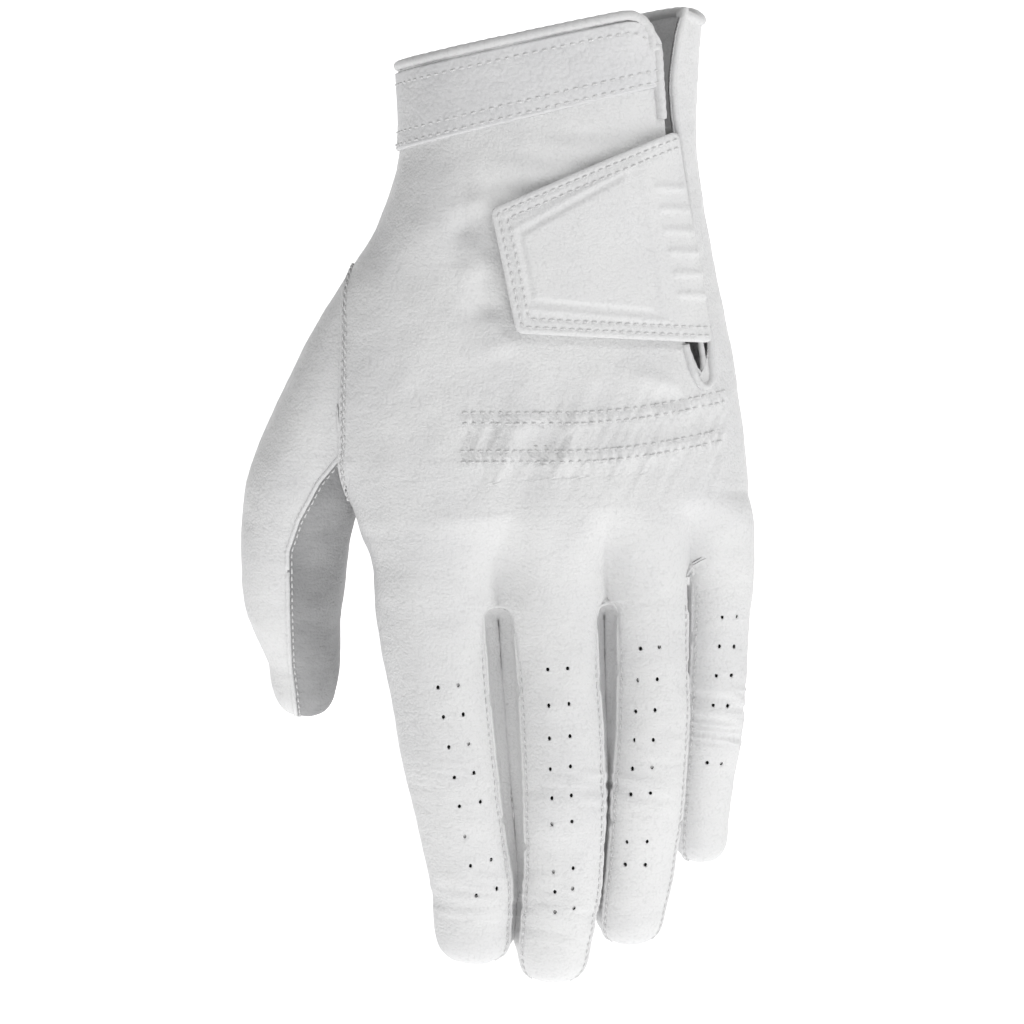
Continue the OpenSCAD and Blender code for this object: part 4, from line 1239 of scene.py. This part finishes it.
def rim_path(from_angle, to_angle):
    """A path round the cuff's rim."""
    a = np.linspace(from_angle, to_angle, 420)
    p = hand_point(CUFF_TOP - cuff_drop(a), a, 0.3)
    p[:, 2] += RIM_RISE
    out = p - np.array([0, 0, p[:, 2].mean()])
    return p, unit(np.stack([out[:, 0], out[:, 1] * 1.6, 0 * a], -1))


def rolled(name, points, normals, place, radius=BINDING_R):
    """A rolled strip of thin leather: a puckered round cord."""
    step = 0.45
    p, nrm = with_normals(points, normals, step)
    s = np.arange(len(p))[:, None] * step
    a = np.arange(14) * 2 * np.pi / 14
    pucker = 1 + 0.05 * np.sin(s * 2 * np.pi / 2.3 + 1.5 * np.sin(s / 7)) + 0.04 * noise(p, 2.0, 31)[:, None]
    r = radius * pucker
    prof = np.stack([r * np.cos(a) * 0.92, r * np.sin(a)], -1)
    return attach(add_mesh(name, *sweep(p, nrm, prof), [TRIM]), place)


def slit_edge_path(side, z0, z1):
    """A path down one edge of the slit."""
    z = np.linspace(z0, z1, 220)
    rows = rows_at(SLIT, z)
    angle = back_angle(rows[:, 1] - 0.7 if side < 0 else rows[:, 2] + 0.7, z)
    return hand_point(z, angle), ring_normals(z, angle)


def make_binding():
    """The rolled edge: round the rim and its corner into the slit, round the flap, and the slit's end."""
    start = float(back_angle(np.float64(CORNER_X - CORNER_R), np.float64(CUFF_TOP)))
    rim, rim_n = rim_path(-SIDE_LEAN, start)
    turn = np.linspace(0, np.pi / 2, 24)[1:]
    a = back_angle(CORNER_X - CORNER_R + (CORNER_R - 0.4) * np.sin(turn), np.full_like(turn, CUFF_TOP))
    corner = hand_point(CUFF_TOP - cuff_drop(a) - CORNER_R * (1 - np.cos(turn)) + RIM_RISE * np.cos(turn), a)
    edge, edge_n = slit_edge_path(-1, CUFF_TOP - CORNER_R - 1.0, -22.5)
    corner_n = mix(rim_n[-1], edge_n[0], smooth(turn / turn[-1])[:, None])
    normals = unit(np.concatenate([rim_n, corner_n, edge_n]))
    main = rolled("rim_binding", np.concatenate([rim, corner, edge]), normals, "hand")
    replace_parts(main, "cuff_binding")
    make_slit_end()
    flap = rim_path(float(slit_angle(np.float64(CUFF_TOP), 1)), FLAP_TOP_ANGLE + 1.0)
    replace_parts(rolled("flap_rim_binding", *flap, "flap_bend"), "flap_binding")
    rolled("side_rim_binding", *rim_path(FLAP_TOP_ANGLE + 0.5, 360 - SIDE_LEAN + 1), "hand")
    rolled("flap_slit_binding", *slit_edge_path(1, CUFF_TOP, FLAP_END), "flap_bend", 0.85)


# x and z round the slit's end: the binding's outer roll and the one inside it
SLIT_LOOP = [(29.3, -65.8), (30.0, -68.5), (31.2, -72.5), (33.2, -75.2), (35.0, -73.6), (34.9, -69.5),
             (34.6, -65.0), (33.9, -62.0)]
INNER_LOOP = [(29.6, -66), (30.4, -67.5), (31.8, -71.2), (33.3, -72.4), (33.6, -69), (33.0, -65), (32.4, -62)]


def make_slit_end():
    """The bound edge runs round the slit's closed end in two nested rolls."""
    for name, line, lift, radius in (("slit_end_binding", SLIT_LOOP, 0.2, 0.85),
                                     ("slit_end_inner_roll", INNER_LOOP, -0.7, 0.7)):
        p, n = on_back(*smooth_curve(line, 0.4), lift)
        rolled(name, p, n, "hand", radius)


# the tab: its lift off the hand, its thickness, how far in its stitch rows lie, its raised panel, the ridge
# round that, the two pads, and the middles of its ribs
TAB_LIFT, TAB_THICK, TAB_ROWS = 2.2, 0.9, (1.5, 3.3)
PANEL = [(15.0, -28.9), (-7.0, -42.0), (-4.2, -56.3), (21.4, -58.7)]
OUTER = [(18.2, -25.2), (-9.3, -40.9), (-6.2, -58.6), (24.6, -61.2)]
HOOK_PAD = [(13, -27.5), (-9, -37.6), (-5.2, -59.6), (18, -62)]
LOOP_PAD = [(18, -25.5), (-8, -38), (-4, -60.2), (20, -62)]
RIBS = [(24.2, -31.5), (25.2, -36.2), (26.2, -40.9), (27.2, -45.6), (28.2, -50.3), (29.2, -55.0)]


def quad_sdf(x, z, corners):
    """Distance to the outline of a convex quad, negative inside."""
    inside = np.full(np.broadcast(x, z).shape, -1e9)
    outside = np.full_like(inside, 1e9)
    pts = np.array(corners, float)
    for k in range(4):
        a, b = pts[k], pts[(k + 1) % 4]
        e = (b - a) / np.linalg.norm(b - a)
        n = np.array([e[1], -e[0]])
        if (pts.mean(0) - a) @ n > 0:
            n = -n
        inside = np.maximum(inside, (x - a[0]) * n[0] + (z - a[1]) * n[1])
        outside = np.minimum(outside, segment_distance(x, z, a, b)[0])
    return np.where(inside < 0, inside, outside)


def rounded_quad(corners, radius, count):
    """Evenly spaced points round a quad with rounded corners."""
    pts = np.array(corners, float)
    out = []
    for k in range(4):
        p, a, b = pts[k], pts[k - 1], pts[(k + 1) % 4]
        u, v = unit(a - p), unit(b - p)
        s, e = p + u * radius, p + v * radius
        for t in np.linspace(0, 1, 9):
            out.append((1 - t) ** 2 * s + 2 * t * (1 - t) * p + t * t * e)
    path = np.array(out + [out[0]])
    s = np.concatenate([[0], np.cumsum(np.linalg.norm(np.diff(path, axis=0), axis=1))])
    at = np.linspace(0, s[-1], count + 1)[:-1]
    return np.stack([np.interp(at, s, path[:, k]) for k in (0, 1)], -1)


def tab_plane(x, z):
    """Points and normals under the tab, which is a little flatter than the back of the hand."""
    return back_point(x, z), surface_normals(back_point, x, z, 0.8)


def tab_relief(x, z):
    """Height of the embossing on the tab's face: a raised panel, a ridge, stitch channels and ribs."""
    height = 0.50 * smooth(-quad_sdf(x, z, PANEL) / 1.3 + 0.3)
    height = height + 0.32 * np.exp(-((quad_sdf(x, z, OUTER) + 0.4) / 0.75) ** 2)
    edge = quad_sdf(x, z, TAB)
    stitched = np.where(x > 26 - (z + 42) * 0.16, 0.0, 1.0)
    for inset in TAB_ROWS:
        height = height - 0.20 * stitched * np.exp(-((edge + inset) / 0.38) ** 2)
    for cx, cz in RIBS:
        d, _ = segment_distance(x, z, np.array([cx - 2.4, cz]), (cx + 2.4, cz - 0.25))
        height = height + 0.38 * np.exp(-(d / 0.85) ** 4)
    return height


def radial_grid(corners, radius, count, rings):
    """Rings of points from the middle of a quad out to its rounded outline."""
    rim = rounded_quad(corners, radius, count)
    centre = np.array(corners, float).mean(0)
    k = np.concatenate([np.linspace(0.02, 0.93, rings - 5), np.linspace(0.945, 1, 5)])
    return centre + (rim[None] - centre) * k[:, None, None]


def closed_faces(rings, count, start=0, flip=False):
    faces = []
    for i in range(rings - 1):
        for j in range(count):
            a, b = start + i * count + j, start + i * count + (j + 1) % count
            quad = (a, b, b + count, a + count)
            faces.append(quad[::-1] if flip else quad)
    cap = tuple(range(start, start + count))
    faces.append(cap[::-1] if not flip else cap)
    return faces


def tab_wave(x, z):
    """The tab's own gentle waves, which its threads and pads follow."""
    return 0.35 * noise(np.stack([x, z, 0 * x], -1), 16, 50)


def slab(name, corners, radius, low, thick, material, body, relief=None, count=260, rings=64):
    """A padded sheet with a rounded outline lying over the back of the hand."""
    flat = radial_grid(corners, radius, count, rings)
    x, z = flat[..., 0], flat[..., 1]
    p, n = tab_plane(x, z)
    wave = tab_wave(x, z)
    top = low + thick + wave
    if relief is not None:
        top = top + relief(x, z) + 0.05 * noise(p, 3.0, 51)
    fall = np.zeros(rings)
    fall[-5:] = [0.0, 0.03, 0.10, 0.22, 0.42]
    upper = p + n * (top - (fall * thick)[:, None])[..., None]
    under = p + n * (low + wave + (fall * thick)[:, None] * 0.6)[..., None]
    m = rings * count
    faces = closed_faces(rings, count) + closed_faces(rings, count, m, True)
    for j in range(count):
        a, b = (rings - 1) * count + j, (rings - 1) * count + (j + 1) % count
        faces.append((a, b, b + m, a + m))
    obj = add_mesh(name, np.concatenate([upper.reshape(-1, 3), under.reshape(-1, 3)]), faces, [material])
    return attach(obj, body)


def inner_quad(corners, margin):
    pts = np.array(corners, float)
    centre = pts.mean(0)
    return [tuple(p + unit(centre - p) * margin) for p in pts]


def make_tab():
    """The closure tab's layers, the loop patch under it and the tab's two stitch rows."""
    face_low = TAB_LIFT - 0.25
    top = slab("tab_leather_sheet", TAB, 1.6, face_low, TAB_THICK, TAB_SKIN, "closure_tab",
               tab_relief)
    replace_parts(top, "tab_leather", "tab_raised_panel")
    back = slab("tab_back_lining", inner_quad(TAB, 0.6), 1.6, TAB_LIFT - 0.72, 0.42, EDGE, "closure_tab",
                count=120, rings=16)
    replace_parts(back, "tab_backing")
    hook = slab("hook_pad_nap", HOOK_PAD, 1.5, TAB_LIFT - 1.15, 0.38, NAP, "closure_tab",
                count=100, rings=14)
    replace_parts(hook, "hook_pad")
    loop = slab("loop_patch_nap", LOOP_PAD, 1.5, 0.25, 0.55, NAP, "hand",
                count=100, rings=14)
    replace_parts(loop, "loop_patch")
    for k, inset in enumerate(TAB_ROWS):
        x, z = along_line(inner_line(TAB, inset), 0.4)
        p, n = tab_plane(x, z)
        lift = face_low + TAB_THICK + tab_wave(x, z) + tab_relief(x, z)
        row = stitch_row(f"tab_stitches_{k + 1}", p + n * (lift + 0.10)[:, None], n, "closure_tab",
                         pitch=1.9, length=1.4, radius=0.22, top=0.18)
        if k == 0:
            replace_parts(row, "tab_threads")


def inner_line(corners, inset):
    """Corners of a quad whose sides lie inset inside those of another; its last side stays put."""
    pts = np.array(corners, float)
    centre = pts.mean(0)
    lines = []
    for k in range(4):
        a, b = pts[k], pts[(k + 1) % 4]
        e = (b - a) / np.linalg.norm(b - a)
        n = np.array([-e[1], e[0]])
        if (centre - a) @ n < 0:
            n = -n
        lines.append((a + n * (inset if k < 3 else 1.2), e))
    out = []
    for k in range(4):
        (p, d), (q, e) = lines[k - 1], lines[k]
        m = np.array([d, -e]).T
        t = np.linalg.solve(m, q - p)
        out.append(tuple(p + d * t[0]))
    return out


# ------------------------------------------------------------------ thumb seam, web patch and inner parts

def make_thumb_seams():
    """Two rows of stitches and a fold round the front of the thumb's hole, and the seam down the thumb."""
    z = np.linspace(HOLE_Z + HOLE_H - 0.4, HOLE_Z - HOLE_H + 1.2, 260)
    for k, extra in enumerate((1.9, 3.7)):
        p, n = on_rings(z, back_left(z) + extra, 0.14)
        row = stitch_row(f"thumb_seam_stitches_{k + 1}", p, n, "hand", pitch=1.9, length=1.35, radius=0.23,
                         top=0.18)
        if k == 0:
            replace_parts(row, "thumb_threads")
    p, n = on_rings(z, back_left(z) + 0.25)
    ridge("thumb_seam_fold", p, n, 0.9, 0.38, "hand")
    outline_seam()


def thumb_normals(t, angle):
    dt = thumb_point(t + 0.01, angle) - thumb_point(t - 0.01, angle)
    da = thumb_point(t, angle + 1) - thumb_point(t, angle - 1)
    return unit(np.cross(dt, da))


def thumb_front(x, z):
    """Stations and angles of the points of the thumb's front that lie at x and z."""
    t = np.concatenate([np.linspace(0.02, 3, 420), 3 + np.sin(np.linspace(0.01, 1.5, 60))])[:, None]
    a = np.linspace(195, 350, 240)[None]
    grid = thumb_point(t, a)
    found = [np.unravel_index(np.argmin((grid[..., 0] - u) ** 2 + (grid[..., 2] - w) ** 2), grid.shape[:2])
             for u, w in zip(x, z)]
    rows, cols = np.array(found).T
    ease = np.array([1, 2, 3, 4, 3, 2, 1]) / 16
    return [np.convolve(np.pad(v, 3, mode="edge"), ease, mode="valid") for v in (t[rows, 0], a[0, cols])]


def outline_seam():
    """The welt and stitches between the thumb's outer and inner halves."""
    z = np.linspace(THUMB_SEAM[0, 1] - 16, THUMB_SEAM[-1, 1] + 1.5, 230)
    t, a = thumb_front(seam_x(z), z)
    p, n = thumb_point(t, a), thumb_normals(t, a)
    for place, part in (("thumb_upper", t <= THUMB_CUT), ("thumb_lower", t >= THUMB_CUT)):
        q, m = shifted(p[part], n[part]), n[part]
        ridge(f"{place}_outseam", q, m, 1.0, 0.45, place)
        side = unit(np.cross(m, np.gradient(q, axis=0)))
        stitch_row(f"{place}_outseam_stitches", q + side * 1.0 + m * 0.05, m, place, pitch=1.7, length=1.2,
                   radius=0.18, top=0.13)


def make_inner_parts():
    """What the leather hides: the wrist elastic, a blank label and the lining of the thumb's crotch."""
    z = np.linspace(-24, -31, 10)[:, None]
    grid = hand_point(z, np.linspace(25, 150, 90)[None], 1.0)
    thin_sheet("wrist_elastic_band", grid, 0.5, ELASTIC, "hand", "wrist_elastic", flip=True)
    z = np.linspace(-4, -14, 14)[:, None]
    grid = hand_point(z, np.linspace(78, 102, 24)[None], 1.1)
    grid = grid + 0.06 * noise(grid, 4, 61)[..., None] * np.array([0, 1.0, 0])
    thin_sheet("blank_size_label", grid, 0.2, LABEL, "hand", "size_label", flip=True)
    t, a = np.linspace(0.2, 0.7, 16)[:, None], np.linspace(-40, 40, 30)[None]
    grid = thumb_point(t, a) - thumb_normals(t, a) * 1.05
    thin_sheet("thumb_web_lining", grid, 0.4, SKIN, "hand", "thumb_web_patch")


# ------------------------------------------------------------------ welts round the slots and finger seams

def split_path(f, t, points, normals):
    """Cuts a path down one finger where its leather is cut: the row's part, middle part and tip part."""
    c1, c2 = station_at(f, CUT1[f]), station_at(f, CUT2[f])
    for word, place, low, high in (("row", "row", -1, c1), ("middle", ("middle", f), c1, c2),
                                   ("tip", ("tip", f), c2, 9)):
        keep = (t >= low - 1e-6) & (t <= high + 1e-6)
        if keep.sum() > 6:
            yield word, place, points[keep], normals[keep]


def tube_normals(f, t, angle):
    dt = finger_point(f, t + 0.01, angle) - finger_point(f, t - 0.01, angle)
    da = finger_point(f, t, angle + 1) - finger_point(f, t, angle - 1)
    return unit(np.cross(dt, da))


def side_line(f, angle, crotch, stop=4.93):
    """A line down one side of a finger, from just below its slot's closed end to the fingertip."""
    t = np.concatenate([np.linspace(crotch + SLOT_ROUND, 4, 240)[:-1], 4 + np.sin(np.linspace(0, 1.37, 40))])
    t = t[t <= stop]
    a = np.full_like(t, angle)
    p, n = finger_point(f, t, a), tube_normals(f, np.clip(t, 0.02, 4.97), a)
    return t, shifted(p, n), n


def slot_line(f):
    """Round the closed end of the slot between fingers f and f + 1 on the back."""
    t = CROTCH[1] + SLOT_ROUND * np.linspace(1, 0, 24) ** 2
    left = row_point(f, t, np.ones_like(t), 1)
    right = row_point(f + 1, t[::-1], np.zeros_like(t), 1)
    return np.concatenate([left, right[1:]])


def welt_and_stitches(name, f, angle, side, turn):
    """A welt down one side of a finger, and a row of stitches beside it, turn degrees on. On the palm side
    both stop at the tip's joint."""
    t, p, n = side_line(f, angle, CROTCH[side])
    for word, place, q, m in split_path(f, t, p, n):
        if side > 0 or word != "tip":
            ridge(f"{name}_welt_{word}", q, m, WELT_WIDTH, WELT_HEIGHT, place)
    t, p, n = side_line(f, angle + turn, CROTCH[side], 4.85)
    for word, place, q, m in split_path(f, t, p + n * 0.10, n):
        if side > 0 or word != "tip":
            stitch_row(f"{name}_stitches_{word}", q, m, place, pitch=1.8, length=1.25, radius=0.19, top=0.14)


def make_welts():
    """Welts and stitches down the fingers' seams, and the welts round the closed ends of the slots."""
    for f, name in enumerate(FINGER_NAMES):
        if f > 0:
            welt_and_stitches(f"{name}_thumbward_back", f, 180 + SEAM_AT, 1, 9.0)
            welt_and_stitches(f"{name}_thumbward_palm", f, 180 - SEAM_AT, -1, -9.0)
        if f < 3:
            welt_and_stitches(f"{name}_outward_back", f, 360 - SEAM_AT, 1, -9.0)
            welt_and_stitches(f"{name}_outward_palm", f, SEAM_AT, -1, 9.0)
    for f, pair in enumerate(PAIRS):
        path = slot_line(f)
        normals = np.broadcast_to([0, -1.0, 0], path.shape)
        ridge(f"slot_{pair}_back", *with_normals(path, normals, 0.35), WELT_WIDTH, WELT_HEIGHT, "row")


make_trunk()
make_flap()
make_fingers()
make_thumb()
make_elastics()
make_cuff()
make_binding()
make_tab()
make_thumb_seams()
make_inner_parts()
make_welts()


# ------------------------------------------------------------------ camera, light and stage

VIEW_DISTANCE = 2.5
PHOTO_WIDTH = 0.2253
LENS_WIDTH = 36.0
CENTRE = (-0.0088, 0.0, -0.1027)


def make_camera():
    data = bpy.data.cameras.new("camera")
    data.sensor_width = LENS_WIDTH
    data.lens = LENS_WIDTH * VIEW_DISTANCE / PHOTO_WIDTH
    cam = bpy.data.objects.new("camera", data)
    bpy.context.scene.collection.objects.link(cam)
    cam.location = (CENTRE[0], -VIEW_DISTANCE, CENTRE[2])
    cam.rotation_euler = (math.pi / 2, 0, 0)
    data.clip_end = 20
    bpy.context.scene.camera = cam


def make_light(name, size, power_w, where):
    """A round lamp facing the glove's middle."""
    data = bpy.data.lights.new(name, "AREA")
    data.shape, data.size, data.energy = "DISK", size, power_w
    obj = bpy.data.objects.new(name, data)
    bpy.context.scene.collection.objects.link(obj)
    obj.location = where
    obj.rotation_euler = (Vector(CENTRE) - Vector(where)).to_track_quat("-Z", "Y").to_euler()


def make_stage():
    """A pale sweep: a floor that bends up into a back wall."""
    width, floor_z, back_y, bend = 4.5, -0.45, 4.2, 0.8
    profile = [(-4.2, floor_z), (back_y - bend, floor_z)]
    for k in range(1, 9):
        a = math.radians(90 * k / 9)
        profile.append((back_y - bend + bend * math.sin(a), floor_z + bend - bend * math.cos(a)))
    profile += [(back_y, floor_z + bend), (back_y, 4.0)]
    verts = np.array([(x, y, z) for y, z in profile for x in (-width, width)]) / MM
    faces = [(2 * i, 2 * i + 1, 2 * i + 3, 2 * i + 2) for i in range(len(profile) - 1)]
    add_mesh("studio_sweep", verts, faces, [stage_material("pale_sweep", (0.9, 0.9, 0.9), 0.80)])


def make_world():
    world = bpy.data.worlds.new("studio")
    bpy.context.scene.world = world
    world.use_nodes = True
    background = world.node_tree.nodes["Background"]
    background.inputs["Color"].default_value = (1, 1, 1, 1)
    background.inputs["Strength"].default_value = 0.24


make_camera()
make_light("key", 0.40, 7.8, (1.45, -0.85, 0.85))
make_light("front", 1.0, 1.5, (0.35, -1.9, 0.45))
make_light("top", 0.5, 1.6, (0.2, -0.5, 1.2))
make_stage()
make_world()
bpy.context.scene.view_settings.view_transform = "Standard"
